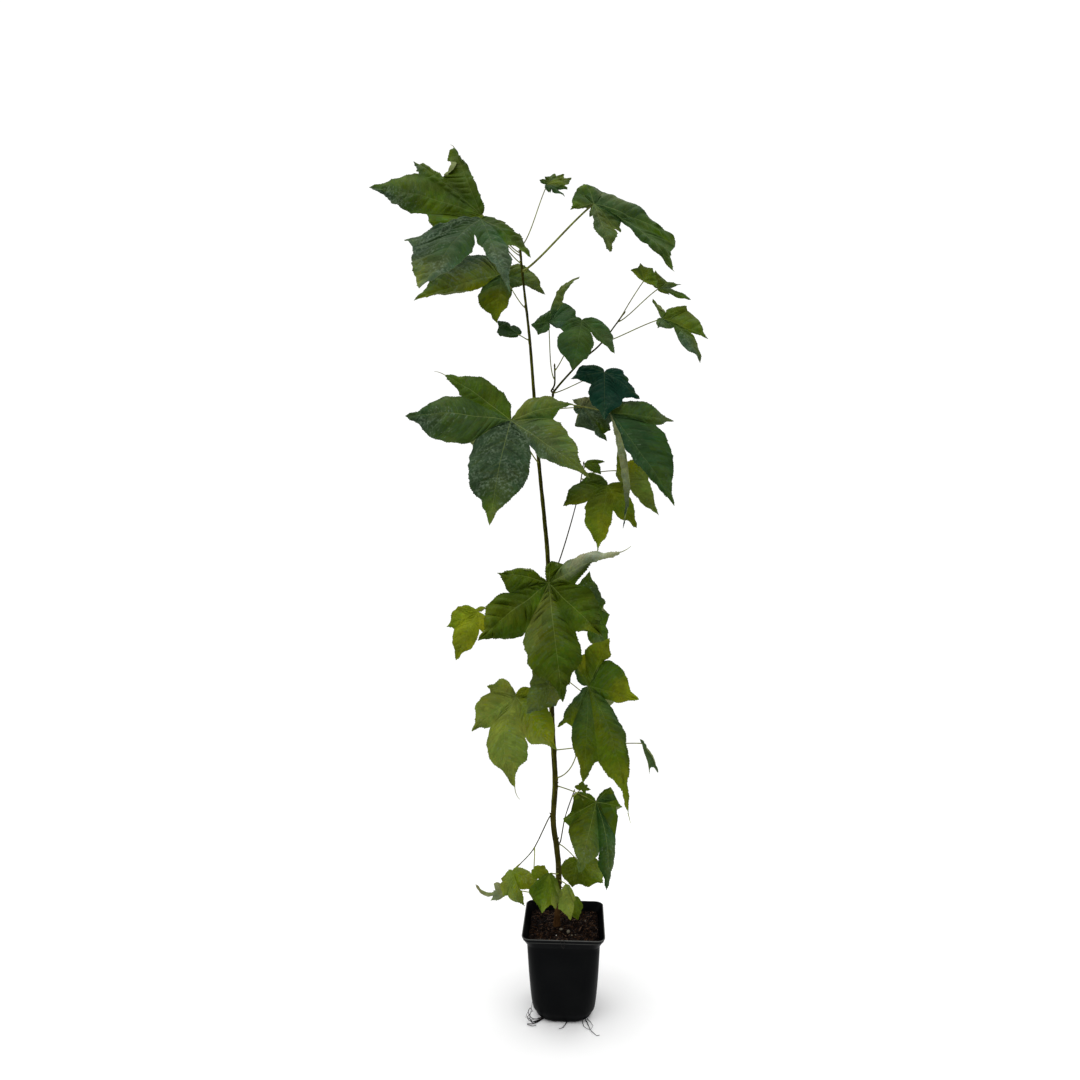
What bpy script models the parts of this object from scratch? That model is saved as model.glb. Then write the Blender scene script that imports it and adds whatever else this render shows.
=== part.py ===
"""Young sweetgum tree in a square nursery pot, as separate closed solids.

One slender stem leans out of a 9 cm pot, with a few thin side twigs. Every leaf is a solid of its
own: a stalk that starts at its bud on the stem or a twig, and a thin blade of three to six pointed
lobes. Metres in the scene, millimetres in the tables; +Z is up and the viewer stands at -Y.
The origin is the centre of the pot's flat underside.
"""
import math
from collections import namedtuple

import bmesh
import bpy
from mathutils import Matrix, Vector

MM = 0.001
GAP = 0.35                      # clear space between pieces that touch, mm
UP = Vector((0.0, 0.0, 1.0))

# ---- pot: a thin square tub with a flared lip --------------------------------------------------
POT_HEIGHT = 97.0
RIM_HALF = 45.0                 # half the outer width at the rim
NECK_HALF = 39.6                # half the outer width just under the lip
NECK_HEIGHT = 85.0
FOOT_HALF = 31.0
WALL_BELLY = 0.55               # how soon the wall bellies out above the foot; 1 is a straight wall
WALL_RING = 24.0                # height of the ring of points that shapes the belly
FOOT_CORNER = 15.0              # corner radius at the foot
RIM_CORNER = 9.0
HEEL = 3.5                      # height and depth of the rounded edge round the foot
POT_WALL = 1.0
POT_FLOOR = 1.5
LIP_WALL = 1.3
LIP_DEPTH, LIP_LEAN = 4.0, 1.2  # the upright band of the lip: its height, and how far it leans out
DRAIN_RADIUS = 3.5
DRAIN_OFFSET = 19.0
CORNER_STEPS = 3

# ---- soil --------------------------------------------------------------------------------------
SOIL_LEVEL = 90.0
SOIL_RINGS = (0.82, 0.6, 0.38)  # sizes of the rings of the uneven top, against its outline
SOIL_UNEVEN = 1.1
SOIL_DISH = 1.5                 # how far the soil falls toward the wall

# ---- limbs: route points (x, y, z) and diameters at the two ends -------------------------------
STEM_ROUTE = [(-8, 0, 90.3), (-6, -1, 149), (-8, -1, 176), (-12, 0, 208), (-10, 1, 254), (-13, 1, 310),
              (-16, 0, 410), (-18, -1, 497), (-22, 0, 547), (-29, 1, 619), (-38, 1, 742), (-47, 0, 825),
              (-50, 0, 866)]
STEM_SOLE = 9.5                 # diameter of the flat cut on the soil
STEM_FOOT = 6.4
STEM_TOP = 2.2
STEM_FLARE = 14.0               # height over which the foot widens into the root flare
STEM_SIDES = 8
STEM_STEPS = 22

TWIGS = {
    # parent, height on it, route after that point, diameter at its foot and at its tip
    "twig_right": ("stem", 649, [(-14, 12, 685), (-10, 13, 696), (19, 14, 728), (42, 13, 748),
                                 (67, 10, 780)], 3.0, 1.5),
    "twig_upper": ("twig_right", 693, [(-11, 15, 703), (-11, 14, 722)], 2.2, 1.6),
    "twig_middle": ("stem", 490, [(-6, 9, 499), (13, 14, 563), (22, 16, 611)], 1.6, 1.1),
    "twig_low_right": ("stem", 184, [(0, -1, 207), (3, 0, 218), (11, 2, 240)], 1.5, 1.1),
    "twig_low_left": ("stem", 212, [(-33, -10, 181), (-48, -12, 164), (-55, -13, 157)], 1.5, 1.0),
}
TWIG_SIDES = 6
TWIG_STEPS = 6

# ---- leaves ------------------------------------------------------------------------------------
# limb, height of the bud on it, hub of the blade (x, y, z), way the blade faces (degrees to the
# right, degrees up), and its lobes clockwise from the notch where the stalk comes in. A lobe is
# its tip (turn, reach): degrees on a clock face seen from the front, and mm from the hub; its half
# width before and after the rib (None: the usual shape); the bottom (turn, reach) of the notch
# after it; and how far its rib curves sideways, clockwise. Last, on a leaf whose stalk doesn't make
# straight for its hub: how far the stalk sets off square to the limb, against its length.
LEAVES = {
    "leaf_01": ("stem", 855, (-20, 25, 936), (10, 40),
                [(311, 12, None, None, (347, 13)), (22, 27, None, 12, (52, 29)),
                 (61, 32, None, 8, (94, 26)), (111, 27, None, None, (119, 25)),
                 (139, 30, None, None, (150, 17)), (165, 12)]),
    "leaf_02": ("stem", 848, (-95, 12, 897), (-15, 15),
                [(233, 66, None, None, (278, 67)), (293, 160, 16, 21, (309, 101)),
                 (315, 128, 10, 5, (318, 80)), (339, 106, 14, 8)]),
    "leaf_03": ("stem", 836, (-91, -22, 878), (-5, 35),
                [(138, 88, 14, 4, (146, 58)), (160, 116, 12, 9, (187, 30)),
                 (209, 113, 9, 29, (242, 81)), (252, 86, None, 6)]),
    "leaf_04": ("stem", 827, (33, -12, 896), (25, 25),
                [(243, 28, 2, 14, (307, 24)), (340, 30, None, 11, (33, 25)),
                 (105, 94, 19, 10, (113, 101)), (131, 117, 14, 8, (121, 36), -10),
                 (140, 45, 8, None, (146, 37)), (165, 64, 12, 6, (183, 13)), (193, 20, None, 2)]),
    "leaf_05": ("stem", 786, (-73, 24, 833), (0, 15),
                [(118, 58, 22, 3, (145, 23)), (184, 61, 11, 21, (232, 27)), (252, 106, 12, 40)]),
    "leaf_06": ("twig_right", 777, (88, -15, 809), (0, 30),
                [(316, 20, 2, 6, (342, 19)), (354, 25, None, 6, (22, 19)), (32, 20, None, 6, (91, 14)),
                 (124, 18, None, 2)]),
    "leaf_07": ("twig_right", 772, (108, 20, 812), (15, 30),
                [(354, 25, 8, 7, (45, 15)), (72, 29, 3, 2, (85, 13)), (110, 39, 5, 4, (118, 12)),
                 (125, 14)]),
    "leaf_08": ("twig_right", 750, (108, -15, 767), (25, 25),
                [(338, 26, 1, 8, (32, 6)), (55, 36, 5, None, (64, 34)), (110, 56, 21, 3, (117, 34)),
                 (142, 65, 10, 9, (130, 16), -9), (205, 15, 10)]),
    "leaf_09": ("twig_upper", 708, (-18, 10, 772), (-10, 35),
                [(211, 21, 8, None, (237, 17)), (268, 20, None, 17, (20, 27)),
                 (28, 76, 7, 4, (37, 32), -3), (95, 37, 24, 15)]),
    "leaf_10": ("twig_upper", 718, (20, -25, 764), (10, 25),
                [(140, 54, 17, 3, (152, 18)), (189, 64, 15, 20, (232, 25)), (246, 24)]),
    "leaf_11": ("stem", 750, (-53, 15, 760), (-10, 40),
                [(268, 21, None, None, (301, 29)), (311, 36, None, 5, (323, 16)), (340, 15)]),
    "leaf_12": ("twig_right", 692, (45, -5, 711), (5, 30),
                [(107, 27, 9, None, (117, 29)), (130, 50, 6, 9, (149, 38)),
                 (181, 59, 15, 15, (224, 21)), (257, 38, 5, None, (272, 31)), (289, 25, None, 5)]),
    "leaf_13": ("twig_right", 674, (21, 25, 677), (-10, 20),
                [(313, 17, 1, 9, (28, 15)), (97, 34, None, None, (116, 37)),
                 (132, 42, None, None, (144, 40)), (146, 49, None, None, (155, 32)),
                 (201, 24, 13, None, (212, 9)), (291, 12, None, 1)]),
    "leaf_14": ("twig_right", 682, (51, -25, 662), (15, 20),
                [(95, 71, 20, 8, (104, 51)), (147, 122, 31, 10, (157, 56)),
                 (175, 126, 7, 3, None, -10)]),
    "leaf_15": ("stem", 611, (-55, -55, 650), (-8, 28),
                [(75, 68, 23, 5, (90, 45)), (128, 105, 22, 13, (144, 36)),
                 (188, 113, 28, 31, (243, 41)), (275, 119, 31, 21, (297, 61)), (307, 98, 6, 24)]),
    "leaf_16": ("twig_middle", 603, (25, 15, 613), (0, 30),
                [(88, 21, 3, None, (96, 13)), (131, 22, 6)]),
    "leaf_17": ("twig_middle", 600, (61, 25, 604), (0, 10),
                [(3, 24, 2, 5, (48, 16)), (85, 38, None, None, (107, 37)), (138, 70, 11, 5, (146, 27)),
                 (156, 25, None, 3)]),
    "leaf_18": ("twig_middle", 594, (48, -15, 584), (5, 30),
                [(107, 26, 8, None, (115, 24)), (147, 56, 10, 9, (170, 30)),
                 (189, 74, 8, 17, (229, 29)), (244, 54, 6, 15, (279, 30)), (310, 24, None, 5)]),
    "leaf_19": ("stem", 446, (-14, -80, 480), (-3, 22),
                [(5, 22, 6, 7, (38, 24)), (65, 86, 6, 6, (88, 22)), (134, 75, 23, 11, (152, 49)),
                 (172, 113, 21, 27, (205, 52)), (231, 90, 21, 23, (257, 41)), (281, 55, 11, 12)]),
    "leaf_20": ("stem", 425, (12, 50, 453), (15, 15),
                [(28, 38, 4, 15, (87, 32)), (114, 46, 11, None, (131, 48)),
                 (147, 72, 11, 12, (158, 40)), (212, 33)]),
    "leaf_21": ("stem", 474, (-100, 20, 441), (-15, 25),
                [(160, 24, 11, None, (170, 20)), (203, 58, 13, 13, (232, 34)),
                 (243, 41, None, 10, (274, 27)), (282, 25, None, 3, (312, 4)), (56, 11)]),
    "leaf_22": ("stem", 352, (-14, -90, 379), (0, 15),
                [(158, 22, 11, None, (191, 24)), (217, 35, 7, 8, (263, 18)), (308, 21, None, 8)]),
    "leaf_23": ("stem", 329, (-49, -60, 360), (-8, 22),
                [(56, 16, None, None, (91, 19)), (138, 65, 16, 16, (169, 32)),
                 (179, 84, 19, 20, (220, 40), 11), (233, 58, 6, 18, (276, 28)), (286, 33, None, 14)]),
    "leaf_24": ("stem", 256, (27, -30, 366), (12, 20),
                [(329, 29, None, None, (353, 33)), (26, 54, 16, 7, (34, 31)),
                 (106, 57, 27, 12, (128, 19)), (162, 132, 25, 10, (173, 75), -4),
                 (184, 94, 12, 14, (205, 48)), (220, 52)], 0.3),
    "leaf_25": ("stem", 287, (89, 20, 291), (40, 20),
                [(334, 6, None, None, (90, 3)), (150, 38, 6, None, (152, 31)), (166, 35, None, 1)]),
    "leaf_26": ("twig_low_right", 235, (20, -8, 247), (0, 30),
                [(287, 8, None, None, (314, 5)), (0, 7, None, None, (45, 5)),
                 (62, 8, None, None, (80, 6)), (93, 10, None, None, (107, 5)), (133, 6)]),
    "leaf_27": ("stem", 247, (36, 0, 230), (5, 20),
                [(48, 22, 3, None, (86, 24)), (100, 30, None, 12, (148, 40)),
                 (173, 86, 9, 8, (177, 48), -6), (196, 71, 13, 13, (232, 38)),
                 (244, 40, None, None, (251, 30)), (292, 24, 12, 3)]),
    "leaf_28": ("stem", 182, (15, 35, 149), (0, 20),
                [(100, 32, None, None, (114, 34)), (127, 37, None, None, (144, 30)),
                 (158, 28, None, None, (176, 24)), (193, 28, None, 9, (227, 24)), (249, 22)]),
    "leaf_29": ("twig_low_left", 163, (-57, -15, 157), (-10, 30),
                [(108, 36, 7, 8, (149, 18)), (153, 33, 3, 10, (190, 22)),
                 (200, 25, None, 6, (227, 15)), (240, 10)]),
    "leaf_30": ("twig_low_left", 181, (-32, -30, 166), (10, 40),
                [(75, 8, None, None, (89, 13)), (101, 16, None, None, (111, 16)),
                 (134, 12, None, None, (149, 9)), (186, 7)]),
    "leaf_31": ("stem", 122, (-68, 5, 127), (-10, 15),
                [(230, 20, 5, None, (240, 13)), (273, 34, 5, 2, (258, 9), -8), (292, 13)]),
    "leaf_32": ("stem", 150, (-15, -40, 166), (-5, 30),
                [(138, 17, 3, None, (151, 23)), (166, 30, None, None, (174, 26)),
                 (192, 34, 6, 8, (220, 28)), (237, 25, None, 2)]),
    "leaf_33": ("stem", 143, (3, -25, 148), (10, 25),
                [(142, 16, 2, None, (153, 18)), (171, 32, 4, 6, (194, 23)), (202, 22, None, 3)]),
    "leaf_34": ("stem", 134, (12, 5, 120), (20, 25),
                [(130, 10, None, None, (152, 15)), (171, 21, None, None, (185, 18)), (190, 15)]),
    "leaf_35": ("stem", 650, (-73, 60, 648), (170, 20),
                [(31, 58), (78, 68), (184, 72), (240, 52), (296, 52)]),
    "leaf_36": ("stem", 375, (37, 70, 324), (192, 15),
                [(77, 28), (147, 44), (190, 58), (294, 44), (355, 45)]),
    "leaf_37": ("stem", 845, (-113, 80, 937), (165, 25),
                [(349, 31), (24, 54), (72, 59), (131, 65), (178, 56)]),
    "leaf_38": ("stem", 345, (-76, 55, 327), (165, 15),
                [(9, 25), (114, 29), (184, 64), (233, 67), (279, 37)]),
}

SPREAD = 0.08                   # how far a usual stalk sets off square to its limb, against its length
Leaf = namedtuple("Leaf", "limb height hub facing lobes spread", defaults=(SPREAD,))
Lobe = namedtuple("Lobe", "turn reach before after notch bend", defaults=(None, None, None, 0))
BLADE = 0.6                     # thickness of a blade
STALK_THICK, STALK_THIN = 1.5, 1.2
STALK_SIDES = 4
STALK_STEPS = 3
STALK_BOW = 0.04                # how far a stalk arches up, against its length
ARCH = 0.05                     # how far a lobe bows out of its plane, against its length
DROOP = 0.12                    # how far the margins hang back, against their distance from the rib
NEAR, FAR = 0.33, 0.7           # where a margin's two control points stand between notch and tip
BELLY = 0.26                    # bulge of a usual margin outside the straight line, against its length
BELLY_END = 0.1                 # the same near the tip
WIDEST = 0.45                   # where along a margin its measured half width is
PULL_END = 0.45                 # pull of its second control point there, against the first
BEND_NEAR, BEND_FAR = 0.9, 0.7  # how much of the rib's bend the two control points take
USUAL_NOTCH = 0.45              # reach of a notch, against the shorter lobe beside it
OUTER_HALF = 0.24               # half width beside the stalk, against the lobe's length
OUTER_TURN = 0.42               # how far that margin sets off toward the stalk, against the open angle
OUTER_SHARE = 0.75              # a curve's widest place, against the pull of its control points
OUTER_FAR = 0.6                 # where its second control point stands along the rib
ROW_STEP = 0.04                 # least step between rows along a rib, against its length
LARGE_LEAF = 45.0               # from this reach a leaf has an extra row of points inside its notches
LONG_LOBE, SHORT_LOBE = 60.0, 12.0    # reaches that have three rows outside the notch, or only one

# ---- colours (linear), roughness ---------------------------------------------------------------
COLOURS = {
    "stem": ((0.115, 0.085, 0.03), 0.6),
    "twig": ((0.13, 0.14, 0.05), 0.6),
    "leaf": ((0.05, 0.11, 0.02), 0.5),
    "pot": ((0.012, 0.012, 0.013), 0.45),
    "soil": ((0.018, 0.011, 0.007), 0.95),
}


def clear_scene():
    for obj in list(bpy.data.objects):
        bpy.data.objects.remove(obj, do_unlink=True)


def material(kind):
    """The plain material of one kind of piece, made once."""
    found = bpy.data.materials.get(kind)
    if found:
        return found
    colour, roughness = COLOURS[kind]
    new = bpy.data.materials.new(kind)
    new.use_nodes = True
    shader = new.node_tree.nodes["Principled BSDF"]
    shader.inputs["Base Color"].default_value = (*colour, 1.0)
    shader.inputs["Roughness"].default_value = roughness
    return new


def add_object(name, bm, kind, smooth_angle=50.0):
    """Turns a bmesh in millimetres into a named object in metres."""
    bmesh.ops.scale(bm, vec=(MM, MM, MM), verts=bm.verts)
    bmesh.ops.recalc_face_normals(bm, faces=bm.faces)
    mesh = bpy.data.meshes.new(name)
    bm.to_mesh(mesh)
    bm.free()
    mesh.shade_smooth()
    mesh.set_sharp_from_angle(angle=math.radians(smooth_angle))
    mesh.materials.append(material(kind))
    obj = bpy.data.objects.new(name, mesh)
    bpy.context.collection.objects.link(obj)
    return obj


def unite(obj, other):
    """Joins two overlapping closed solids into one."""
    join = obj.modifiers.new("join", "BOOLEAN")
    join.operation = "UNION"
    join.object = other
    depsgraph = bpy.context.evaluated_depsgraph_get()
    joined = bpy.data.meshes.new_from_object(obj.evaluated_get(depsgraph))
    obj.modifiers.clear()
    obj.data = joined
    bpy.data.objects.remove(other, do_unlink=True)


# ---- curves ------------------------------------------------------------------------------------
def bezier(points, u):
    """A point on the cubic curve of four control points."""
    a, b, c, d = points
    v = 1.0 - u
    return a * v ** 3 + b * (3 * u * v * v) + c * (3 * u * u * v) + d * u ** 3


def smooth_route(points, steps):
    """A curve through every route point, read at evenly spaced steps of length."""
    ends = [points[0] * 2 - points[1], *points, points[-1] * 2 - points[-2]]
    fine = []
    for before, start, end, after in zip(ends, ends[1:], ends[2:], ends[3:]):
        for k in range(12):
            fine.append(bezier((start, start + (end - before) / 6, end - (after - start) / 6, end), k / 12))
    fine.append(points[-1])
    lengths = [0.0]
    for one, two in zip(fine, fine[1:]):
        lengths.append(lengths[-1] + (two - one).length)
    route = []
    for k in range(steps + 1):
        goal = lengths[-1] * k / steps
        i = max(j for j, length in enumerate(lengths[:-1]) if length <= goal + 1e-9)
        share = (goal - lengths[i]) / (lengths[i + 1] - lengths[i])
        route.append(fine[i].lerp(fine[i + 1], share))
    return route


def tube(bm, route, radii, sides, set_off):
    """A closed round tube along a route, its rings turned without twist, the first one across set_off."""
    tangent = set_off
    across = tangent.orthogonal().normalized()
    rings = []
    for k, (centre, radius) in enumerate(zip(route, radii)):
        if k and k + 1 < len(route):
            tangent = (route[k + 1] - route[k - 1]).normalized()
        elif k:
            tangent = (route[k] - route[k - 1]).normalized()
        across = (across - tangent * across.dot(tangent)).normalized()
        up = tangent.cross(across)
        ring = []
        for s in range(sides):
            turn = 2 * math.pi * s / sides
            ring.append(bm.verts.new(centre + (across * math.cos(turn) + up * math.sin(turn)) * radius))
        rings.append(ring)
    for low, high in zip(rings, rings[1:]):
        for s in range(sides):
            t = (s + 1) % sides
            bm.faces.new((low[s], low[t], high[t], high[s]))
    bm.faces.new(rings[0][::-1])
    bm.faces.new(rings[-1])


# ---- limbs -------------------------------------------------------------------------------------
def limb_at(limb, height):
    """The point, direction and radius of a limb where it passes a height."""
    route, radii = limb
    spans = [(k, route[k].z, route[k + 1].z) for k in range(len(route) - 1)]
    k, low, high = min(spans, key=lambda span: max(0.0, min(span[1:]) - height, height - max(span[1:])))
    share = min(1.0, max(0.0, (height - low) / (high - low)))
    direction = (route[k + 1] - route[k]).normalized()
    return route[k].lerp(route[k + 1], share), direction, radii[k] + (radii[k + 1] - radii[k]) * share


def leave_limb(limb, height, toward, own_radius):
    """Where a stalk or twig starts beside its limb, and the way it sets off."""
    point, direction, radius = limb_at(limb, height)
    away = toward - point
    away = (away - direction * away.dot(direction)).normalized()
    return point + away * (radius + GAP + own_radius * 0.25), away


def stem_radius(height):
    """Taper from foot to tip, with the root flare at the soil."""
    low, high = STEM_ROUTE[0][2], STEM_ROUTE[-1][2]
    share = (height - low) / (high - low)
    taper = STEM_FOOT + (STEM_TOP - STEM_FOOT) * share ** 1.6
    flare = (STEM_SOLE - STEM_FOOT) * max(0.0, 1 - (height - low) / STEM_FLARE) ** 2
    return (taper + flare) / 2


def make_stem():
    route = smooth_route([Vector(point) for point in STEM_ROUTE], STEM_STEPS)
    flare_ring = route[0].lerp(route[1], STEM_FLARE * 0.35 / (route[1].z - route[0].z))
    route.insert(1, flare_ring)
    radii = [stem_radius(point.z) for point in route]
    bm = bmesh.new()
    tube(bm, route, radii, STEM_SIDES, UP)
    add_object("stem", bm, "stem")
    return route, radii


def make_twig(name, parent, height, points, thick, thin):
    points = [Vector(point) for point in points]
    start, away = leave_limb(parent, height, points[0], thick / 2)
    route = smooth_route([start, start + away * thick, *points], TWIG_STEPS)
    radii = [(thick + (thin - thick) * k / TWIG_STEPS) / 2 for k in range(TWIG_STEPS + 1)]
    bm = bmesh.new()
    tube(bm, route, radii, TWIG_SIDES, away)
    add_object(name, bm, "twig")
    return route, radii


# ---- leaves ------------------------------------------------------------------------------------
def facing_normal(side, up):
    side, up = math.radians(side), math.radians(up)
    return Vector((math.sin(side) * math.cos(up), -math.cos(side) * math.cos(up), math.sin(up)))


def lobe_vector(normal, turn, reach):
    """A vector in the blade's plane, at a clock turn and reach as seen from the side it faces."""
    turn = math.radians(turn)
    x, z = -math.copysign(reach, normal.y) * math.sin(turn), math.cos(turn) * reach
    return Vector((x, -(normal.x * x + normal.z * z) / normal.y, z))


def margin(tip, side, half, curve, notch):
    """The control points of one side of a lobe, from the notch to the tip."""
    length = tip.length
    start, off = notch.dot(tip) / length ** 2, notch.dot(side)
    free = 1.0 - start
    if half is None:
        near = off * 2 / 3 + BELLY * free * length
        far = off / 3 + BELLY_END * free * length
    else:
        u, v = WIDEST, 1 - WIDEST
        near = (half - off * v ** 3) / (3 * u * v * v + 3 * u * u * v * PULL_END)
        far = near * PULL_END
    return (notch, tip * (start + NEAR * free) + side * near + curve * BEND_NEAR,
            tip * (start + FAR * free) + side * far + curve * BEND_FAR, tip)


def outer_margin(tip, side, half, curve, gap):
    """The same for the side beside the stalk, from the hub; gap is the angle left open there."""
    turn = min(math.pi / 2, gap * OUTER_TURN)
    pull = (OUTER_HALF * tip.length if half is None else half) / OUTER_SHARE
    start = (tip.normalized() * math.cos(turn) + side * math.sin(turn)) * pull
    return Vector(), start, tip * OUTER_FAR + side * pull + curve * BEND_NEAR, tip


def half_lobes(tip, normal, lobe, notches, gap, inside):
    """The rib of one lobe and the margins on its two sides, as offsets from the hub."""
    length, along = tip.length, tip.normalized()
    clockwise = along.cross(normal)
    outside = 1 if length < SHORT_LOBE else 2 if length < LONG_LOBE else 3
    rows = inside + outside
    margins = []
    for side, half, notch in ((-clockwise, lobe.before, notches[0]), (clockwise, lobe.after, notches[1])):
        curve = clockwise * lobe.bend
        if notch:
            line = [notch * (k / inside) for k in range(inside)]
            controls = margin(tip, side, half, curve, notch)
            line += [bezier(controls, k / outside) for k in range(outside + 1)]
        else:
            controls = outer_margin(tip, side, half, curve, gap)
            line = [bezier(controls, k / rows) for k in range(rows + 1)]
        margins.append(line)

    def bowed(point):
        out = point.dot(along) / length
        off = abs(point.dot(clockwise) - lobe.bend * 4 * out * (1 - out))
        return point + normal * (ARCH * length * 4 * out * (1 - out) - DROOP * off)

    shares = [0.0]
    for k in range(1, rows):
        share = (margins[0][k] + margins[1][k]).dot(along) / (2 * length)
        shares.append(min(max(share, shares[-1] + ROW_STEP), 1 - ROW_STEP * (rows - k)))
    rib = [tip * s + clockwise * (lobe.bend * 4 * s * (1 - s)) for s in (*shares, 1.0)]
    return [bowed(point) for point in rib], [[bowed(point) for point in line] for line in margins]


def notch_after(normal, one, two):
    """The bottom of the notch between two lobes: as measured, or halfway between them."""
    if one.notch:
        return lobe_vector(normal, *one.notch)
    turn = one.turn + (two.turn - one.turn) % 360 / 2
    return lobe_vector(normal, turn, USUAL_NOTCH * min(one.reach, two.reach))


def blade_sheet(normal, lobes):
    """Ribs and margins of all lobes, clockwise, and the number of rows inside the notches."""
    tips = [lobe_vector(normal, lobe.turn, lobe.reach) for lobe in lobes]
    notches = [None, *[notch_after(normal, one, two) for one, two in zip(lobes, lobes[1:])], None]
    inside = 2 if max(lobe.reach for lobe in lobes) >= LARGE_LEAF else 1
    gap = math.radians((lobes[0].turn - lobes[-1].turn) % 360)
    sheet = [half_lobes(tip, normal, lobe, notches[i:i + 2], gap, inside)
             for i, (tip, lobe) in enumerate(zip(tips, lobes))]
    for (_, (_, left)), (_, (right, _)) in zip(sheet, sheet[1:]):
        for k in range(1, inside + 1):
            left[k] = right[k] = (left[k] + right[k]) / 2
    return sheet, inside


def add_blade(bm, hub, normal, lobes):
    """The blade as a closed thin sheet: two faces and the rim between them."""
    sheet, inside = blade_sheet(normal, lobes)
    lift = normal * (BLADE / 2)
    made = {}

    def vert(offset, sign):
        key = (sign, *(round(c, 5) for c in offset))
        if key not in made:
            made[key] = bm.verts.new(hub + offset + lift * sign)
        return made[key]

    def face(points, sign):
        corners = []
        for point in points:
            corner = vert(point, sign)
            if corner not in corners:
                corners.append(corner)
        bm.faces.new(corners)

    for i, (rib, margins) in enumerate(sheet):
        for end, line in enumerate(margins):
            shared = inside if 0 < i + end < len(sheet) else 0
            for k in range(len(line) - 1):
                quad = (rib[k], line[k], line[k + 1], rib[k + 1])
                for sign in (1, -1):
                    face(quad, sign)
                if k >= shared:
                    low, high = line[k], line[k + 1]
                    bm.faces.new((vert(low, 1), vert(high, 1), vert(high, -1), vert(low, -1)))


def make_leaf(name, leaf, limbs):
    normal = facing_normal(*leaf.facing)
    hub = Vector(leaf.hub)
    start, away = leave_limb(limbs[leaf.limb], leaf.height, hub, STALK_THICK / 2)
    span = (hub - start).length
    controls = (start, start + away * (span * leaf.spread) + (hub - start) * 0.15,
                hub + (start - hub) * 0.35 + UP * (span * STALK_BOW), hub + normal * (BLADE * 0.4))
    shares = [k / STALK_STEPS for k in range(STALK_STEPS + 1)]
    route = [bezier(controls, share) for share in shares]
    radii = [(STALK_THICK + (STALK_THIN - STALK_THICK) * share) / 2 for share in shares]
    bm = bmesh.new()
    tube(bm, route, radii, STALK_SIDES, away)
    stalk = add_object(name + "_stalk", bm, "leaf")
    bm = bmesh.new()
    add_blade(bm, hub, normal, [Lobe(*lobe) for lobe in leaf.lobes])
    obj = add_object(name, bm, "leaf")
    unite(obj, stalk)


# ---- pot and soil ------------------------------------------------------------------------------
def rounded_square(half, corner, height):
    """A level square outline with rounded corners, counterclockwise."""
    points = []
    for quarter in range(4):
        for k in range(CORNER_STEPS + 1):
            turn = math.pi / 2 * (quarter + k / CORNER_STEPS)
            middle = math.pi / 4 + math.pi / 2 * quarter
            x = math.copysign(half - corner, math.cos(middle)) + corner * math.cos(turn)
            y = math.copysign(half - corner, math.sin(middle)) + corner * math.sin(turn)
            points.append(Vector((x, y, height)))
    return points


def loft(bm, outlines):
    """A closed solid skinned over outlines of equal point count, in order."""
    rings = [[bm.verts.new(point) for point in outline] for outline in outlines]
    count = len(rings[0])
    for low, high in zip(rings, rings[1:]):
        for s in range(count):
            t = (s + 1) % count
            bm.faces.new((low[s], low[t], high[t], high[s]))
    return rings


def wall_half(height, inset=0.0):
    """Half the outer width of the bellied wall at a height up to the neck."""
    share = max(0.0, (height - HEEL) / (NECK_HEIGHT - HEEL)) ** WALL_BELLY
    return FOOT_HALF + (NECK_HALF - FOOT_HALF) * share - inset


def corner_radius(height, inset=0.0):
    return FOOT_CORNER + (RIM_CORNER - FOOT_CORNER) * height / POT_HEIGHT - inset


def make_pot():
    band, band_half = POT_HEIGHT - LIP_DEPTH, RIM_HALF - LIP_LEAN
    outer = [(FOOT_HALF - HEEL * 0.6, 0.0), (wall_half(HEEL), HEEL), (wall_half(WALL_RING), WALL_RING),
             (NECK_HALF, NECK_HEIGHT), (band_half, band), (RIM_HALF, POT_HEIGHT)]
    inner = [(RIM_HALF - LIP_WALL, POT_HEIGHT), (band_half - LIP_WALL, band),
             (NECK_HALF - POT_WALL, NECK_HEIGHT), (wall_half(WALL_RING, POT_WALL), WALL_RING),
             (wall_half(HEEL, POT_WALL), HEEL), (wall_half(POT_FLOOR, POT_WALL + 1.0), POT_FLOOR)]
    outlines = [rounded_square(half, corner_radius(z), z) for half, z in outer]
    outlines += [rounded_square(half, corner_radius(z, POT_WALL), z) for half, z in inner]
    bm = bmesh.new()
    rings = loft(bm, outlines)
    bm.faces.new(rings[0][::-1])
    bm.faces.new(rings[-1])
    pot = add_object("pot", bm, "pot")
    for sx in (-1, 1):
        for sy in (-1, 1):
            bm = bmesh.new()
            place = Matrix.Translation((sx * DRAIN_OFFSET, sy * DRAIN_OFFSET, 0.0))
            bmesh.ops.create_cone(bm, cap_ends=True, segments=12, radius1=DRAIN_RADIUS,
                                  radius2=DRAIN_RADIUS, depth=POT_FLOOR * 4, matrix=place)
            cutter = add_object("drain", bm, "pot")
            cut = pot.modifiers.new("drain", "BOOLEAN")
            cut.operation = "DIFFERENCE"
            cut.object = cutter
            pot.data = bpy.data.meshes.new_from_object(
                pot.evaluated_get(bpy.context.evaluated_depsgraph_get()))
            pot.modifiers.clear()
            bpy.data.objects.remove(cutter, do_unlink=True)


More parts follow.
